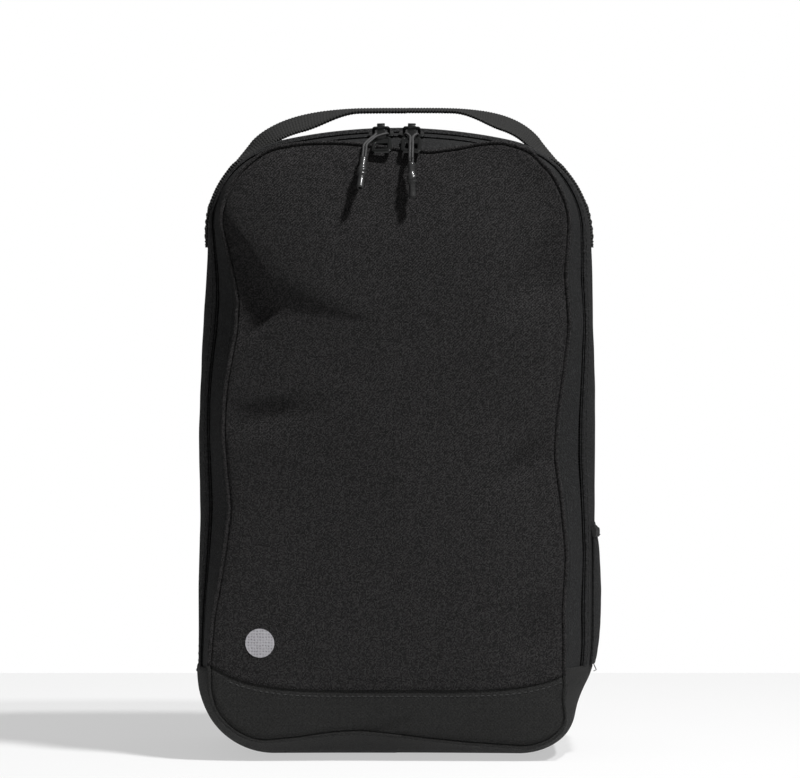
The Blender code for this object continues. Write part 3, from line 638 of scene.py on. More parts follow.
def panel_object(name, rings, front, rim_y=RIM_Y):
    """The rings joined, the spine zipped shut and the relief pressed in."""
    count = len(rings)
    verts = rings.reshape(-1, 3).copy()
    faces = grid_faces(count, RING, closed=True)
    base = (count - 1) * RING
    half = RING // 2
    faces.append((base, base + 1, base + RING - 1))
    for k in range(1, half - 1):
        faces.append((base + k, base + k + 1, base + RING - k - 1, base + RING - k))
    faces.append((base + half - 1, base + half, base + half + 1))
    x, z = verts[:, 0], verts[:, 2]
    height = verts[:, 1] - rim_y
    raised = np.maximum(height, 0.0003)
    free = ease(height, 0.0008, 0.0060)
    small = wander(np.stack((x, z * 0, z), 1), 0.011, 3) * 0.00022
    broad = wander(np.stack((x, z * 0, z), 1), 0.055, 5) * 0.0011
    if front:
        relief = front_relief(x, z) * ease(z, 0.045, 0.070) + accent_relief(x, z) * (
            1 - ease(z, 0.030, 0.045))
        sunk = raised * (1 - np.exp(-np.maximum(relief, 0) / raised)) * (height > 0)
        verts[:, 1] = -(verts[:, 1] - sunk - (np.minimum(relief, 0) + small + broad) * free)
    else:
        free = ease(height, 0.0003, 0.0020)
        verts[:, 1] += (small * 1.2 + broad * 0.8) * free - 0.0012 * free * bell(z, 0.19, 0.09)
    obj = make_object(name, verts, faces)
    edit(obj, lambda bm: bmesh.ops.remove_doubles(
        bm, verts=list(bm.verts)[(count - 4) * RING:], dist=0.0009))
    return obj


def cut_at_seam(source, name, keep_upper, lap=0.0):
    """The part of a panel above or below the accent seam, which dips in the middle."""
    obj = linked(name, source.data.copy())

    def cut(bm):
        for vert in bm.verts:
            vert.co.z -= float(seam_height(vert.co.x)) + lap
        bmesh.ops.bisect_plane(bm, geom=bm.verts[:] + bm.edges[:] + bm.faces[:], dist=1e-6,
                               plane_co=(0, 0, 0), plane_no=(0, 0, 1), clear_inner=keep_upper,
                               clear_outer=not keep_upper)
        for vert in bm.verts:
            vert.co.z += float(seam_height(vert.co.x)) + lap
    edit(obj, cut)
    return obj


def finish_panel(obj, facing, tuck, thickness):
    """Step the cloth at the seam, note its rest place and give it thickness."""
    points = np.empty(len(obj.data.vertices) * 3)
    obj.data.vertices.foreach_get("co", points)
    points = points.reshape(-1, 3)
    points[:, 1] -= facing * tuck(points[:, 2] - seam_height(points[:, 0]))
    obj.data.vertices.foreach_set("co", points.ravel())
    obj.data.update()
    store_cloth(obj.data, points[:, ::2])
    face_out(obj)
    thicken(obj, thickness)
    shade(obj, 50)


def hem(above):
    """The upper cloth rolls in at its lower edge."""
    return 0.0007 * np.clip(1 - above / 0.0016, 0, 1) ** 2 + 0.0003 * bell(above, 0.0045, 0.002)


def under_hem(above):
    """The accent's upper edge passes behind the hem, with a dip along its stitches."""
    return 0.0015 * ease(above, -0.0028, 0.0002) + 0.0002 * bell(above, -0.0032, 0.0010)


def build_panels():
    """The front and back panels, each in two cloths; returns the front's upper and lower, and the
    back's lower."""
    made = []
    for side, facing, body in (("front", -1, "flap_fold"), ("back", 1, "bag")):
        source = panel_object(f"{side}_whole", panel_points(facing < 0), facing < 0)
        upper = cut_at_seam(source, f"{side}_main", True)
        lower = cut_at_seam(source, f"{side}_accent", False, 0.0022)
        bpy.data.objects.remove(source, do_unlink=True)
        finish_panel(upper, facing, hem, PANEL)
        finish_panel(lower, facing, under_hem, PANEL)
        place(upper, TWILL, body, "twill", f"{side}_panel")
        place(lower, BALLISTIC, "bag", "accent_weave", f"{side}_lower_panel")
        made += [upper, lower]
    return made[0], made[1], made[3]


def ray_line(obj, points, direction):
    """Where rays from the points meet a piece: the hits and the surface normals there."""
    hits, normals = [], []
    for point in points:
        ok, hit, normal, _ = obj.ray_cast(Vector(point), Vector(direction), distance=0.3)
        if ok:
            hits.append(hit[:])
            normals.append(normal[:])
    return np.array(hits), np.array(normals)


# ---- gussets, tape and linings
def band_point(arc, y, below, tape_step=0.0, wrinkle=0.0):
    """Points of a band that follows the outline, with its outward direction."""
    x, z, nx, nz = section(arc)
    drawn = inset(y, x, z, nz, tape_step) + below - wrinkle
    return np.stack((x - nx * drawn, y + 0 * x, z - nz * drawn), 1), np.stack(
        (nx, 0 * nx, nz), 1)


def band(name, arcs, depths, below, thickness, tape_step=0.0, wrinkle=None, shift=None):
    """A sheet along the outline: one row per place along it, one column per depth."""
    columns, cloth = [], []
    for y, down in zip(depths, np.broadcast_to(below, (len(depths),))):
        rumple = wrinkle(arcs, y) if wrinkle else 0.0
        at_y = np.full(len(arcs), y) + (shift(arcs, y) if shift else 0.0)
        points, _ = band_point(arcs, at_y, down, tape_step, rumple)
        columns.append(points)
        cloth.append(np.stack((arcs, at_y), 1))
    verts = np.stack(columns, 1).reshape(-1, 3)
    obj = make_object(name, verts, grid_faces(len(arcs), len(depths)),
                      np.stack(cloth, 1).reshape(-1, 2))
    face_out(obj)
    thicken(obj, thickness)
    shade(obj, 50)
    return obj


def rumple_noise(size, height, seed):
    """Wrinkles of a band as a function of its place, fading at the crown."""
    def rumple(arcs, y):
        x, z, nx, nz = section(arcs)
        points = np.stack((x, np.full(len(arcs), float(np.mean(y))), z), 1)
        calm = 1 - 0.75 * ease(nz, 0.6, 0.9)
        low = wander(points, size, seed) + 0.4 * wander(points, size * 0.35, seed + 1)
        return low * height * calm
    return rumple


UPPER = np.linspace(-SPLIT_ARC, SPLIT_ARC, 760)
LOWER = np.linspace(SPLIT_ARC - 0.0006, 2 * HALF_LENGTH - SPLIT_ARC + 0.0006, 330)
GUSSET_RUMPLE = rumple_noise(0.045, 0.0006, 11)


def fold_shift(arcs, y):
    """Past the sliders' run the folded edge lies further forward and covers the zip."""
    near = 1 - ease(y, FOLD_Y + 0.002, FOLD_Y + 0.030)
    return -0.0050 * near * ease(np.abs(arcs), 0.066, 0.098)


HEM_Y = [0.0588, 0.0597, 0.0604, 0.0607]      # a gusset's edge turns in under the panel's
HEM_DROP = [0.0001, 0.0004, 0.0009, 0.0016]


def build_gussets():
    """The gusset behind the zip with its folded edge, the base gusset, both tapes, the lining and
    the bound seam allowances."""
    roll = [(0.0014, 0.0014), (0.0006, 0.0012), (0.0001, 0.0007), (0.0002, 0.0002),
            (0.0012, -0.0002), (0.0022, 0.0001)]
    depths = np.concatenate(([FOLD_Y + step for step, _ in roll], np.linspace(-0.0325, 0.0575, 62),
                             HEM_Y))
    below = [down for _, down in roll] + [0.0] * 62 + HEM_DROP

    def settle(arcs, y):
        edge = ease(y, FOLD_Y, FOLD_Y + 0.010) * (1 - ease(y, 0.048, 0.060))
        return GUSSET_RUMPLE(arcs, y) * edge - 0.0002 * bell(y, FOLD_Y + 0.0030, 0.0007)
    gusset = band("gusset_sides", UPPER, depths, below, FABRIC, wrinkle=settle, shift=fold_shift)
    place(gusset, DOBBY, "bag", "gusset_dobby", "rear_gusset")

    base_depths = np.concatenate(([-y for y in HEM_Y[::-1]], np.linspace(-0.0575, 0.0575, 76), HEM_Y))
    base_below = HEM_DROP[::-1] + [0.0] * 76 + HEM_DROP
    rough = rumple_noise(0.030, 0.0005, 21)

    def base_settle(arcs, y):
        _, z, _, nz = section(arcs)
        lip = 0.0006 * ease(z, 0.038, 0.0495) - 0.0008 * ease(z, 0.0494, 0.0503)
        flat = 1 - ease(-nz, 0.6, 0.95)
        edge = (1 - ease(abs(y), 0.050, 0.060))
        return lip + rough(arcs, y) * flat * edge * (1 - ease(z, 0.040, 0.049))
    base = band("gusset_base", LOWER, base_depths, base_below, FABRIC, TAPE_DEPTH, base_settle)
    place(base, BALLISTIC, "bag", "accent_weave", "base_gusset")

    def tape_shift(arcs, y):
        return 0.0012 * ease(y, -0.058, -0.046) * ease(np.abs(arcs), 0.066, 0.098)
    front_half = np.concatenate(([-0.0600], np.linspace(-0.0592, -0.0450, 14), [-0.0446]))
    tape = band("tape_front", UPPER, front_half, [TAPE_DEPTH] * 15 + [TAPE_DEPTH + 0.0003], TAPE,
                wrinkle=rumple_noise(0.016, 0.00025, 31), shift=tape_shift)
    place(tape, TAPE_CLOTH, "flap_fold", "zip_tape", "zip_tape_front")
    rear_half = np.concatenate(([-0.0414], np.linspace(-0.0410, -0.0300, 10)))
    tape = band("tape_rear", UPPER, rear_half, [TAPE_DEPTH + 0.0003] + [TAPE_DEPTH] * 10, TAPE)
    place(tape, TAPE_CLOTH, "bag", "zip_tape", "zip_tape_rear")

    inner = band("lining_gusset", UPPER[6:-6:2], np.linspace(-0.0294, 0.0515, 30), FABRIC + GAP,
                 LINING, wrinkle=lambda arcs, y: -np.maximum(0, -GUSSET_RUMPLE(arcs, y)) - 0.0002)
    place(inner, LINER, "bag", "lining", "gusset_lining")

    for name, arcs, depth, down, step, body, node in (
            ("binding_front_upper", UPPER, (-0.0595, -0.0525), TAPE_DEPTH + TAPE + GAP, 0.0,
             "flap_fold", "front_seam_binding"),
            ("binding_front_base", LOWER, (-0.0595, -0.0525), FABRIC + GAP, TAPE_DEPTH, "bag",
             "front_base_binding"),
            ("binding_back_upper", UPPER, (0.0525, 0.0595), FABRIC + GAP, 0.0, "bag",
             "back_seam_binding"),
            ("binding_back_base", LOWER, (0.0525, 0.0595), FABRIC + GAP, 0.0, "bag",
             "back_base_binding")):
        strip = band(name, arcs[1:-1], np.linspace(*depth, 5), down, 0.0010, step,
                     rumple_noise(0.014, 0.00015, 41) if "upper" in name else None)
        place(strip, WEBBING, body, "webbing", node)


def build_panel_linings():
    """Linings that follow the panels just inside them."""
    behind = PANEL + 0.0006
    for side, facing, body in (("front", -1, "flap_fold"), ("back", 1, "bag")):
        rings = panel_points(facing < 0, 0.0032, behind)[::2]
        whole = panel_object("lining_whole", rings, facing < 0, RIM_Y - behind)
        lining = cut_at_seam(whole, f"lining_{side}", True, 0.0125)
        bpy.data.objects.remove(whole, do_unlink=True)
        finish_panel(lining, facing, lambda above: 0.0002, LINING)
        place(lining, LINER, body, "lining", f"{side}_lining")


# ---- zip coil
def build_coils():
    """Moulded coil teeth that cross the middle of the zip in turn."""
    pitch, around = 0.0015, 5
    under = TAPE_DEPTH + TAPE + 0.0004
    tooth = ((0.0039, 0.0009), (0.0022, 0.0002), (0.0006, 0.0003), (-0.0004, 0.0008),
             (0.0006, 0.0013), (0.0022, 0.0013))
    for side, sign, body in (("front", -1, "flap_fold"), ("rear", 1, "bag")):
        verts, faces, cloth = [], [], []
        shift = 0.0 if sign < 0 else pitch / 2
        for arc in np.arange(-SPLIT_ARC + 0.002, SPLIT_ARC - 0.002, pitch) + shift:
            faces += tube_faces(len(tooth), around, len(verts))
            for reach, deep in tooth:
                y = ZIP_Y + sign * reach
                wide = 0.00034 * (1.35 if reach < 0 else 1.0)
                for a in np.arange(around) * 2 * math.pi / around:
                    spot, out = band_point(np.array([arc + wide * math.cos(a)]), np.array([y]),
                                           under + deep)
                    verts.append(spot[0] + out[0] * 0.00022 * math.sin(a))
                    cloth.append((arc, y))
        teeth = make_object(f"coil_{side}", verts, faces, cloth)
        shade(teeth, 70)
        place(teeth, COIL, body, "coil", f"zip_coil_{side}")


# ---- sliders and pulls
ZIP_SHARE_SLOPE = 1.6 * FRONT_INSET * CROWN_INSET_SHARE / 0.035 * (0.018 / 0.035) ** 0.6
ZIP_TILT = math.atan(ZIP_SHARE_SLOPE)
ZIP_INSET = FRONT_INSET * CROWN_INSET_SHARE * (0.018 / 0.035) ** 1.6
SLIDER_TOP = 0.0004 - TAPE_DEPTH
SLIDER_PLATE = 0.0014
BAR_Z = SLIDER_TOP + SLIDER_PLATE + 0.0031
TAB_DROOP = math.radians(31)
TAB_THICK = 0.0014
TAB_NECK = 0.0044
CORD_R = 0.0007
CORD_SPACING = 0.00075
HITCH = 0.007
HITCH_DEPTH = TAB_THICK / 2 + CORD_R + 0.0004
# Each cord's way down from its tab, sideways and forward for 1 of fall, and the length that hangs.
CORD_HANG = {"left": (-0.12, 0.62, 0.0080), "right": (0.04, 0.20, 0.0030)}


def zip_frame(turn):
    return (Matrix.Translation((0, 0, CROWN_Z)) @ Matrix.Rotation(turn, 4, "Y")
            @ Matrix.Translation((0, ZIP_Y, CROWN_R - ZIP_INSET)) @ Matrix.Rotation(ZIP_TILT, 4, "X"))


def tab_point(x, along_tab, above):
    slope = TAB_DROOP - ZIP_TILT
    return Vector((x, -along_tab * math.cos(slope) - above * math.sin(slope),
                   BAR_Z - along_tab * math.sin(slope) + above * math.cos(slope)))


def rounded(points, radius, steps=4):
    """A closed flat outline with its corners rounded."""
    out = []
    count = len(points)
    for k in range(count):
        before, here, after = (Vector(points[(k + j) % count]) for j in (-1, 0, 1))
        back, ahead = before - here, after - here
        cut = min(radius, back.length * 0.45, ahead.length * 0.45)
        a, b = here + back.normalized() * cut, here + ahead.normalized() * cut
        for step in range(steps + 1):
            t = step / steps
            out.append(tuple(a * (1 - t) ** 2 + here * 2 * t * (1 - t) + b * t * t))
    return out


def plate(name, outlines, thickness, bevel, transform):
    """Closed outlines, the later ones holes, as a plate with rounded edges."""
    curve = bpy.data.curves.new(name, "CURVE")
    curve.dimensions = "2D"
    curve.fill_mode = "BOTH"
    curve.extrude = thickness / 2 - bevel
    curve.bevel_depth = bevel
    curve.bevel_resolution = 2
    curve.offset = -bevel
    for outline in outlines:
        spline = curve.splines.new("POLY")
        spline.points.add(len(outline) - 1)
        spline.use_cyclic_u = True
        for target, point in zip(spline.points, outline):
            target.co = (point[0], point[1], 0.0, 1.0)
    source = linked(name + "_curve", curve)
    bpy.context.view_layer.update()
    solid = source.evaluated_get(bpy.context.evaluated_depsgraph_get())
    bm = bmesh.new()
    bm.from_mesh(bpy.data.meshes.new_from_object(solid))
    bmesh.ops.remove_doubles(bm, verts=bm.verts, dist=2e-6)
    bmesh.ops.recalc_face_normals(bm, faces=bm.faces)
    bm.transform(transform)
    bpy.data.objects.remove(source, do_unlink=True)
    mesh = bpy.data.meshes.new(name)
    bm.to_mesh(mesh)
    bm.free()
    return linked(name, mesh)


def sweep(name, path, radius_at, around):
    """A tube along a path; radius_at(arc, angle) gives its surface."""
    path = np.asarray(path, float)
    tangent = np.gradient(path, axis=0)
    tangent /= np.linalg.norm(tangent, axis=1)[:, None]
    side = np.cross(tangent[0], (0.13, 0.31, 0.94))
    verts, cloth = [], []
    angles = np.arange(around) / around * 2 * np.pi
    for point, way, s in zip(path, tangent, run_length(path)):
        side = side - way * (side @ way)
        side /= np.linalg.norm(side)
        up = np.cross(way, side)
        r = np.array([radius_at(s, a) for a in angles])
        verts.append(point + np.outer(r * np.cos(angles), side) + np.outer(r * np.sin(angles), up))
        cloth.append(np.stack((np.full(around, s), angles * CORD_R), 1))
    return tube(name, np.concatenate(verts), len(path), np.concatenate(cloth))


def smooth_path(points, per_span):
    ends = [2 * points[0] - points[1]] + points + [2 * points[-1] - points[-2]]
    path = []
    for before, start, end, after in zip(ends, ends[1:], ends[2:], ends[3:]):
        for step in range(per_span):
            t = step / per_span
            path.append(0.5 * (2 * start + (end - before) * t
                               + (2 * before - 5 * start + 4 * end - after) * t * t
                               + (3 * start - before - 3 * end + after) * t ** 3))
    path.append(points[-1])
    return path


def join(objects, name):
    """Several meshes as one piece."""
    bm = bmesh.new()
    for obj in objects:
        bm.from_mesh(obj.data)
        bpy.data.objects.remove(obj, do_unlink=True)
    mesh = bpy.data.meshes.new(name)
    bm.to_mesh(mesh)
    bm.free()
    return linked(name, mesh)


def build_slider(side, at):
    """Two plates with turned-down edges, a neck between them and an arched bail on top."""
    half = [(0.0, 0.0070), (0.0026, 0.0070), (0.0050, 0.0044), (0.0053, 0.0010), (0.0043, -0.0040),
            (0.0040, -0.0070)]
    outline = half + [(-x, y) for x, y in reversed(half[1:])]
    turned = at @ Matrix.Rotation(math.pi / 2, 4, "Z")
    bottom = -(TAPE_DEPTH + TAPE + GAP + 0.0016 + 0.0024)
    parts = []
    for tag, z in (("top", SLIDER_TOP + SLIDER_PLATE / 2), ("low", bottom - SLIDER_PLATE / 2)):
        parts.append(plate(f"{side}_{tag}", [rounded(outline, 0.0022, 5)], SLIDER_PLATE, 0.00035,
                           turned @ Matrix.Translation((0, 0, z))))
    for sign in (-1, 1):
        rail = [(sign * 0.0036, -0.0062), (sign * 0.0042, -0.0062), (sign * 0.0050, 0.0012),
                (sign * 0.0046, 0.0040), (sign * 0.0041, 0.0030)]
        parts.append(plate(f"{side}_rail{sign}", [rounded(rail, 0.0004, 2)], 0.0009, 0.00015,
                           turned @ Matrix.Translation((0, 0, bottom + 0.0004))))
    neck = [(0.0010, 0.0062), (0.0008, 0.0015), (-0.0008, 0.0015), (-0.0010, 0.0062)]
    tall = SLIDER_TOP - bottom
    shift = math.tan(ZIP_TILT) * (TAPE_DEPTH + TAPE + GAP + 0.0008)
    parts.append(plate(f"{side}_neck", [rounded(neck, 0.0005, 3)], tall + 0.0004, 0.0001,
                       turned @ Matrix.Translation((-shift, 0, bottom + tall / 2))))
    body = join(parts, f"zip_slider_{side}")
    shade(body, 45)
    place(body, ENAMEL, f"slider_{side}", "slider_enamel", f"slider_{side}")
    foot = SLIDER_TOP + SLIDER_PLATE - 0.0002
    arch = [(-0.0050, foot), (-0.0034, foot), (-0.0034, BAR_Z - 0.0012), (-0.0030, BAR_Z - 0.0008),
            (0.0030, BAR_Z - 0.0008), (0.0034, BAR_Z - 0.0012), (0.0034, foot), (0.0050, foot),
            (0.0050, BAR_Z - 0.0002), (0.0040, BAR_Z + 0.0008), (-0.0040, BAR_Z + 0.0008),
            (-0.0050, BAR_Z - 0.0002)]
    upright = at @ Matrix.Rotation(math.pi / 2, 4, "X")
    bail = plate(f"zip_bail_{side}", [rounded(arch, 0.0004, 3)], 0.0016, 0.00028, upright)
    shade(bail, 45)
    place(bail, ENAMEL, f"slider_{side}", "slider_enamel", f"slider_bail_{side}")


def build_tab(side, at):
    """A flat pull with an eye round the bar, a neck and a window with a raised rim."""
    slope = TAB_DROOP - ZIP_TILT
    here = at @ Matrix.Translation(tab_point(0, 0, 0)) @ Matrix.Rotation(slope, 4, "X")
    neck, wide = TAB_NECK / 2, 0.0055
    half = [(neck, -0.0016), (neck, -0.0092), (wide, -0.0122), (wide, -0.0258),
            (wide - 0.0012, -0.027)]
    outline = half + [(-x, y) for x, y in reversed(half)]
    window = [(-0.0034, -0.0240), (0.0034, -0.0240), (0.0034, -0.0180), (-0.0034, -0.0180)]
    parts = [plate(f"{side}_plate", [rounded(outline, 0.0012, 4), rounded(window, 0.0006, 4)],
                   TAB_THICK, 0.0003, here)]
    edge = wide - 0.0007
    rim = [(-edge, -0.0262), (edge, -0.0262), (edge, -0.0126), (-edge, -0.0126)]
    inner = [(x * 0.84, -0.0194 + (y + 0.0194) * 0.88) for x, y in rim]
    parts.append(plate(f"{side}_rim", [rounded(rim, 0.0011, 4), rounded(inner, 0.0009, 4)], 0.0019,
                       0.00025, here))
    ring = [(0.0026 * math.cos(a), 0.0026 * math.sin(a)) for a in np.linspace(0, 2 * np.pi, 28)[:-1]]
    bore = [(x * 0.56, y * 0.56) for x, y in ring]
    parts.append(plate(f"{side}_eye", [ring, bore], TAB_NECK, 0.0004,
                       here @ Matrix.Rotation(math.pi / 2, 4, "Y")))
    tab = join(parts, f"zip_tab_{side}")
    shade(tab, 45)
    place(tab, ENAMEL, f"tab_{side}", "slider_enamel", f"pull_tab_{side}")


def cord_strand(at, side, sign):
    """One strand from the hitch to the grip, in the frame of the zip, and its way down."""
    lean, forward, hang = CORD_HANG[side]
    down = at.inverted().to_3x3() @ Vector((lean, -forward, -1)).normalized()
    beside = TAB_NECK / 2 + CORD_R + 0.0006
    hitch = [tab_point(0.7 * beside * sign, HITCH, -HITCH_DEPTH),
             tab_point(beside * sign, HITCH + 0.0006, -0.0002),
             tab_point(0.8 * beside * sign, HITCH + 0.0028, 0.0019)]
    apart = CORD_SPACING * sign
    if side == "left":
        over = [tab_point(0.78 * apart - 0.0034, 0.0128 + 0.62 * apart, 0.0021),
                tab_point(0.78 * apart - 0.0064, 0.0172 + 0.62 * apart, 0.0021),
                tab_point(apart - 0.0088, 0.0212, 0.0016)]
    else:
        over = [tab_point(apart, along_tab, above) for along_tab, above in
                ((0.0135, 0.0019), (0.0200, 0.0019), (0.0262, 0.0019), (0.0308, -0.0004))]
    last = over[-1] + down * hang
    return hitch + over + [over[-1] + down * hang * 0.5, last], down


def build_cord(side, at):
    """The doubled braided cord hitched round the tab's neck, and the grip on its ends."""
    left, down = cord_strand(at, side, -1)
    right, _ = cord_strand(at, side, 1)
    points = list(reversed(right)) + [tab_point(0, HITCH, -HITCH_DEPTH)] + left
    path = [at @ point for point in smooth_path(points, 22)]

    def braid(s, a):
        turn = s * 2 * math.pi / 0.0016
        return CORD_R * (0.97 + 0.09 * math.sin(4 * a + turn) * math.sin(4 * a - turn))
    cord = sweep(f"pull_cord_loop_{side}", [tuple(p) for p in path], braid, 16)
    place(cord, CORD, f"cord_{side}", "pull_cord", f"pull_cord_{side}")

    way = (at.to_3x3() @ down).normalized()
    top = at @ ((left[-1] + right[-1]) / 2)
    shape = np.array([(0.0, 0.0012), (0.0002, 0.0017), (0.0009, 0.0021), (0.0030, 0.0020),
                      (0.0055, 0.0019), (0.0068, 0.0023), (0.0080, 0.0027), (0.0095, 0.0027),
                      (0.0110, 0.0026), (0.0124, 0.0020), (0.0140, 0.0018), (0.0175, 0.0019),
                      (0.0192, 0.0020), (0.0200, 0.0017), (0.0200, 0.0011), (0.0185, 0.0009),
                      (0.0170, 0.0002)])
    rings, around = 100, 28
    steps = np.linspace(0, len(shape) - 1, rings)
    run, wide = (np.interp(steps, np.arange(len(shape)), shape[:, k]) for k in range(2))
    verts, cloth = [], []
    angles = np.arange(around) / around * 2 * np.pi
    aim = Vector((0, 0, -1)).rotation_difference(way).to_matrix().to_4x4()
    move = Matrix.Translation(top + way * GAP) @ aim
    for s, r in zip(run, wide):
        knot = bell(s, 0.0094, 0.0022)
        wrap = np.sin(2 * angles + s * 2 * np.pi / 0.0034) * knot * 0.10
        ridge = 0.025 * np.sin(s * 2 * np.pi / 0.0011) * (1 - knot) * (0.001 < s < 0.019)
        rr = r * (1 + wrap + ridge)
        for a, q in zip(angles, rr):
            verts.append(tuple(move @ Vector((q * math.cos(a), q * math.sin(a), -s))))
            cloth.append((s, a * 0.002))
    grip = tube(f"pull_knot_{side}", verts, rings, cloth)
    place(grip, RUBBER, f"cord_{side}", "pull_grip", f"pull_grip_{side}")


def build_pulls():
    for side, sign in (("left", -1), ("right", 1)):
        at = zip_frame(sign * math.radians(1.65))
        build_slider(side, at)
        build_tab(side, at)
        build_cord(side, at)


# ---- handle
WEB_WIDTH = 0.025
WEB_THICK = 0.0022
WEB_Y = 0.008
WEB_RIB = 0.0017
TAIL_END_Z = 0.283
LIFT_OFF = math.radians(52)
HANDLE_X = 0.082
HANDLE_RISE = 0.0187


def strap_line():
    """Middle line of the right half of the webbing, from its sewn end to the middle."""
    raised = GAP + WEB_THICK / 2
    lean = math.atan(2 * LEAN_CURVE * (TAIL_END_Z - TAPER_Z))
    points = []
    for z in np.linspace(TAIL_END_Z, LEAN_TOP_Z, 8, endpoint=False):
        points.append((side_x(z) + raised * math.cos(lean), z + raised * math.sin(lean)))
    reach = SHOULDER_R + raised
    for a in np.linspace(math.pi / 2 - SIDE_LEAN, LIFT_OFF, 24):
        points.append((SHOULDER_X + reach * math.sin(a), SHOULDER_Z + reach * math.cos(a)))
    last_x, last_z = points[-1]
    end_z = last_z + (last_x - HANDLE_X) * math.tan(LIFT_OFF)
    for x in np.linspace(last_x, HANDLE_X, 6)[1:]:
        points.append((x, last_z + (last_x - x) * math.tan(LIFT_OFF)))
    for t in np.linspace(0, math.pi / 2, 60)[1:]:
        x = HANDLE_X * math.cos(t)
        points.append((x, end_z + HANDLE_RISE * (1 - (x / HANDLE_X) ** 4) ** 0.85))
    points = np.array(points)
    arc = run_length(points)
    fine = np.linspace(0, arc[-1], int(arc[-1] / 0.00028))
    kernel = np.hanning(25)
    kernel /= kernel.sum()
    line = np.empty((len(fine), 2))
    for k in range(2):
        padded = np.pad(np.interp(fine, arc, points[:, k]), 12, mode="reflect", reflect_type="odd")
        line[:, k] = np.convolve(padded, kernel, "valid")
    line[-1, 0] = 0.0
    return fine, line


def build_handle():
    """Ribbed webbing: sewn flat to the shoulders, rolled forward where it lifts off."""
    arc, line = strap_line()
    x, z = line.T
    tangent = np.gradient(line, axis=0)
    tangent /= np.linalg.norm(tangent, axis=1)[:, None]
    normal = np.stack((-tangent[:, 1], tangent[:, 0]), 1)
    normal *= np.where(normal[:, 1:] < 0, -1, 1)
    normal[x > 0.1] = np.abs(normal[x > 0.1])
    most = math.radians(21)
    half_w, half_t = WEB_WIDTH / 2, WEB_THICK / 2
    lanes = np.linspace(-1, 1, 34)
    loop = [(a, 1) for a in lanes] + [(a, -1) for a in lanes[::-1]]
    turns = 2 * math.pi / WEB_RIB
    for side, mirror, share in (("left", -1, 1.0), ("right", 1, 0.9)):
        roll = most * ease(-x, -0.094, -0.078) * (1 - 0.80 * ease(-x, -0.058, -0.026)) * share
        drop = 0.0044 * np.sin(roll) / math.sin(most)
        drawn = sag(np.full(len(x), float(mirror)), z) * ease(x, 0.070, 0.100)
        lean_over = 0.0060 * np.clip(1 - (x / HANDLE_X) ** 2, 0, 1) * mirror
        verts, cloth = [], []
        for k in range(len(arc)):
            rib = math.sin(arc[k] * turns)
            c, s = math.cos(roll[k]), math.sin(roll[k])
            for a, face in loop:
                edge = 1 - abs(a) ** 14
                chevron = math.sin((arc[k] + 0.0009 * abs((a * 5.5) % 2 - 1)) * turns)
                t = half_t * (0.42 + 0.58 * edge ** 0.5) + 0.00022 * chevron * edge
                if 0.80 < abs(a) < 0.88:
                    t -= 0.00018
                w = a * (half_w + (0.00040 * rib if abs(a) > 0.985 else 0.0))
                out = w * s + face * t * c - drop[k]
                verts.append((mirror * (x[k] + normal[k, 0] * out - drawn[k] + lean_over[k]),
                              WEB_Y + w * c - face * t * s, z[k] + normal[k, 1] * out))
                cloth.append((arc[k], w))
        strap = tube(f"handle_web_{side}", verts, len(arc), cloth, 50)
        strap.data.materials.append(WEBBING)
        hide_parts(f"handle_tail_{side}", "handle_strap")
        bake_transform(strap)
        box_stitch(side, mirror, line, normal)


def box_stitch(side, mirror, line, normal):
    """The sewn square that holds each end of the webbing."""
    lift = WEB_THICK / 2 + 0.0001
    low = np.argmin(np.abs(line[:, 1] - 0.2865))
    high = np.argmin(np.abs(line[:, 1] - 0.3090) + (line[:, 0] < 0.09))
    edge = WEB_WIDTH / 2 - 0.0030

    def run(indices, ys):
        p = line[indices] + normal[indices] * lift
        path = np.stack((mirror * (p[:, 0] - sag(mirror, p[:, 1])), WEB_Y + ys, p[:, 1]), 1)
        out = np.stack((mirror * normal[indices, 0], 0 * ys, normal[indices, 1]), 1)
        return path, out
    span = np.arange(low, high)
    runs = [run(span, np.full(len(span), y)) for y in (-edge, edge)]
    runs += [run(np.full(30, index), np.linspace(-edge, edge, 30)) for index in (low, high)]
    runs += [run(np.linspace(low, high, 60).astype(int), np.linspace(-edge, edge, 60) * flip)
             for flip in (1, -1)]
    parts = [stitches(f"box_{side}_{n}", path, out, "bag") for n, (path, out) in enumerate(runs)]
    merged = join(parts, f"stitch_box_{side}")
    shade(merged, 60)
    place(merged, THREAD, "bag", "webbing")


# ---- pocket
POCKET = (-0.034, 0.054, 0.0525, 0.122)     # front, back, foot and mouth


def pocket_dip(y):
    """How the pocket's mouth hangs between its ends, 1 at its lowest."""
    return 1 - ((y - 0.010) / 0.044) ** 2


def pocket_face(y, z):
    """Outer face of the slip pocket: full at mid height, drawn in at its mouth."""
    front, back, foot, mouth = POCKET
    across = 1 - np.abs((y - (front + back) / 2) / ((back - front) / 2)) ** 3.2
    up = (z - foot) / (mouth - foot)
    belly = np.sin(np.clip(up, 0, 1) ** 0.95 * math.pi) ** 0.9 * 0.0032 + 0.0002 * ease(up, 0.55, 1.0)
    base = HALF_WIDTH - inset(y, np.full(np.shape(y), HALF_WIDTH), z, 0 * y)
    return base - sag(1.0, z) + GAP + 0.0011 + belly * np.maximum(across, 0)


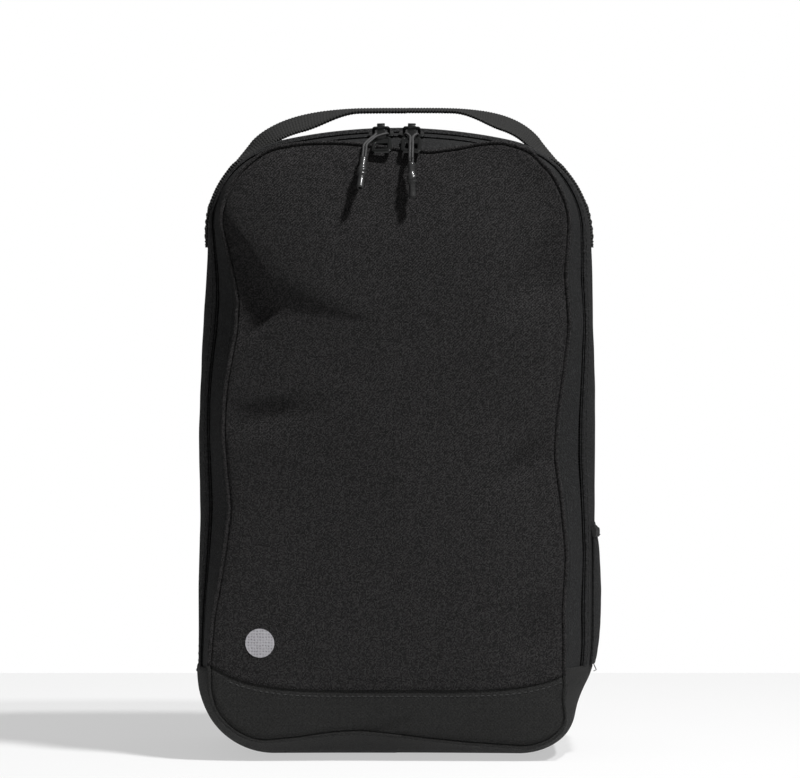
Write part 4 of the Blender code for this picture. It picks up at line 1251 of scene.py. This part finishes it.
def build_pocket():
    front, back, foot, mouth = POCKET
    columns, rows = 96, 84
    grid_y, grid_z = np.meshgrid(np.linspace(front, back, columns),
                                 np.linspace(foot - 0.002, mouth, rows))
    y, z = grid_y.ravel(), grid_z.ravel()
    z = z - 0.0016 * pocket_dip(y) * ease(z, 0.095, 0.122)
    points = np.stack((0 * y, y, z), 1)
    free = ease(y, front, front + 0.012) * (1 - ease(y, back - 0.012, back))
    folds = wander(points * (1, 1.0, 0.45), 0.016, 51) * 0.0006 + wander(points, 0.007, 52) * 0.0002
    pull = 0.0006 * np.sin((y - z * 0.35) / 0.0042) * ease(z, 0.098, 0.121)
    x = pocket_face(y, z) + (folds + pull) * free
    pocket = make_object("pocket_cloth", np.stack((x, y, z), 1), grid_faces(rows, columns),
                         np.stack((y, z), 1))
    face_out(pocket)
    thicken(pocket, 0.0010)
    shade(pocket, 50)
    place(pocket, DOBBY, "bag", "gusset_dobby", "side_pocket")

    ys = np.linspace(front, back, 130)
    profile = ((-0.0002, -0.0046), (0.0006, -0.0046), (0.0010, -0.0040), (0.0011, -0.0010),
               (0.0009, 0.0002), (0.0003, 0.0007), (-0.0006, 0.0007), (-0.0012, 0.0002),
               (-0.0013, -0.0010), (-0.0013, -0.0044), (-0.0008, -0.0047))
    top = mouth + 0.0046 - 0.0016 * pocket_dip(ys)
    face = pocket_face(ys, np.full(len(ys), mouth))
    ripple = 0.0003 * np.sin(ys / 0.0042) * (1 - np.abs((ys - 0.010) / 0.044) ** 4)
    verts, cloth = [], []
    for y, z, x in zip(ys, top, face + ripple):
        verts += [(x + dx, y, z + dz) for dx, dz in profile]
        cloth += [(y, k * 0.001) for k in range(len(profile))]
    tape = tube("pocket_tape", verts, len(ys), cloth, 50)
    place(tape, WEBBING, "bag", "webbing", "pocket_binding")
    line = np.stack((face + 0.0011, ys, top - 0.0034), 1)[2:-2]
    stitches("stitch_pocket", line, np.tile((1.0, 0, 0), (len(line), 1)), "bag", length=0.0022,
             pitch=0.0033)


# ---- emblem
def build_emblem(panel):
    """A pale printed ball with shallow dimples, lying on the front cloth."""
    centre = (-0.0752, 0.0655)
    radius = 0.0080
    rings, around = 26, 96
    r, a = np.meshgrid(radius * np.arange(rings + 1) / rings,
                       2 * math.pi * np.arange(around) / around, indexing="ij")
    u, v = (r * np.cos(a)).ravel(), (r * np.sin(a)).ravel()
    starts = np.stack((centre[0] + u, 0 * u - 0.2, centre[1] + v), 1)
    hits, _ = ray_line(panel, starts, (0, 1, 0))
    if len(hits) < len(starts):
        raise RuntimeError("the emblem missed its panel")
    across, up = 0.00145, 0.00125     # between dimples
    row = np.round(v / up)
    du = (u / across + 0.5 * (row % 2)) % 1.0 - 0.5
    dv = v / up - row
    y = hits[:, 1] - 0.00022 + 0.00014 * np.exp(-((du * 1.45) ** 2 + (dv * 1.25) ** 2) / 0.09)
    obj = make_object("ball_print", np.stack((starts[:, 0], y, starts[:, 2]), 1),
                      grid_faces(rings + 1, around, closed=True), np.stack((u, v), 1))
    edit(obj, lambda bm: bmesh.ops.remove_doubles(bm, verts=bm.verts, dist=1e-7))
    face_out(obj)
    thicken(obj, 0.0002)
    shade(obj, 50)
    place(obj, PRINT, "flap_fold", "emblem_print", "front_emblem")


# ---- rows of stitching
STITCH_DROP = 0.0034      # the accent band's stitches lie this far below its seam
RIM_STITCH_Y = 0.0572     # depth of the rows beside the panels' seams


def build_stitching(front_accent, back_accent):
    for side, sign, accent, reach, look in (
            ("front", 1, front_accent, (-0.0935, 0.0930), (PALE_THREAD, 0.0020, 0.0034, 0.00024)),
            ("back", -1, back_accent, (-0.1000, 0.1000), ())):
        xs = np.linspace(*reach, 260)
        starts = np.stack((xs, np.full(260, sign * -0.2), seam_height(xs) - STITCH_DROP), 1)
        hits, outs = ray_line(accent, starts, (0, sign, 0))
        stitches(f"stitch_accent_{side}", hits, outs, "bag", "accent_weave", *look)
    beside = FOLD_Y + 0.0030
    lower = LOWER[2:-2]
    for name, arcs, y, below, step, body, slot in (
            ("stitch_fold", UPPER, beside + fold_shift(UPPER, beside), -0.0001, 0.0, "bag",
             "gusset_dobby"),
            ("stitch_base_front", lower, -RIM_STITCH_Y, 0.0, TAPE_DEPTH, "bag", "accent_weave"),
            ("stitch_back_upper", UPPER, RIM_STITCH_Y, 0.0, 0.0, "bag", "gusset_dobby"),
            ("stitch_back_lower", lower, RIM_STITCH_Y, 0.0, 0.0, "bag", "gusset_dobby"),
            ("stitch_tape", UPPER, -0.0566, TAPE_DEPTH, 0.0, "flap_fold", "zip_tape")):
        line, out = band_point(arcs, y + np.zeros(len(arcs)), below, step)
        stitches(name, line, out, body, slot)
    for side, sign in (("left", -1), ("right", 1)):
        ys = np.linspace(FOLD_Y + 0.002, 0.057, 90)
        x, z, _, _ = section(np.full(90, sign * (SPLIT_ARC + 0.0032)))
        face = HALF_WIDTH - inset(ys, x, z, 0 * ys, TAPE_DEPTH)
        stitches(f"stitch_accent_side_{side}", np.stack((sign * (face + 0.0006), ys, z), 1),
                 np.tile((sign * 1.0, 0, 0), (90, 1)), "bag", "accent_weave")


# ---- floor, light and camera
def lamp(name, kind, way, energy, place_at=(0, 0, 0)):
    """A light of the studio, shining from the direction named by way."""
    data = bpy.data.lights.new(name, kind)
    data.energy = energy
    obj = linked(name, data)
    obj.location = place_at
    obj.rotation_mode = "QUATERNION"
    obj.rotation_quaternion = Vector(way).to_track_quat("Z", "Y")
    return data


def build_stage():
    bpy.ops.mesh.primitive_plane_add(size=0.84, location=(0, 0, -0.0006))
    floor = bpy.context.object
    floor.name = "floor"
    paint = Net("mat_floor", 0.9, specular=0.1)
    paint.set({"Base Color": (0.42, 0.42, 0.42, 1), "Emission Color": (1, 1, 1, 1),
               "Emission Strength": 0.50})
    floor.data.materials.append(paint.mat)
    world = bpy.data.worlds.new("studio")
    bpy.context.scene.world = world
    world.use_nodes = True
    tree = world.node_tree
    back = tree.nodes["Background"]
    seen = tree.nodes.new("ShaderNodeBackground")
    for node, strength in ((back, 0.17), (seen, 1.0)):
        node.inputs["Color"].default_value = (1, 1, 1, 1)
        node.inputs["Strength"].default_value = strength
    path = tree.nodes.new("ShaderNodeLightPath")
    mix = tree.nodes.new("ShaderNodeMixShader")
    tree.links.new(path.outputs["Is Camera Ray"], mix.inputs[0])
    tree.links.new(back.outputs[0], mix.inputs[1])
    tree.links.new(seen.outputs[0], mix.inputs[2])
    tree.links.new(mix.outputs[0], tree.nodes["World Output"].inputs[0])
    key = (0.43, -0.31, 0.85)
    lamp("key", "SUN", key, 2.1).angle = math.radians(5)
    lamp("fill", "SUN", (-0.25, -0.95, 0.18), 0.12).angle = math.radians(40)
    near = lamp("near_key", "AREA", key, 5.6, (0.334, -0.310, 1.010))
    near.shape = "DISK"
    near.size = 0.07


def build_camera():
    distance = 2.4
    rise = math.radians(2.0)
    aim = Vector((0.0020, 0.0, 0.2032))
    data = bpy.data.cameras.new("camera")
    camera = linked("camera", data)
    back = Vector((0, -math.cos(rise), math.sin(rise)))
    camera.location = aim + back * distance
    camera.rotation_mode = "QUATERNION"
    camera.rotation_quaternion = (-back).to_track_quat("-Z", "Y")
    data.sensor_width = 36
    data.lens = 36 * distance / 0.4520
    data.clip_start = 0.1
    data.clip_end = 20
    bpy.context.scene.camera = camera
    view = bpy.context.scene.view_settings
    view.view_transform = "Standard"
    view.look = "None"


# ---- the whole bag
build_camera()
build_stage()
front_main, front_accent, back_accent = build_panels()
build_emblem(front_main)
build_gussets()
build_panel_linings()
build_coils()
build_pulls()
build_handle()
build_pocket()
build_stitching(front_accent, back_accent)
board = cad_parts["base_board"]
board.data.materials.clear()
board.data.materials.append(BOARD)

bpy.context.view_layer.update()
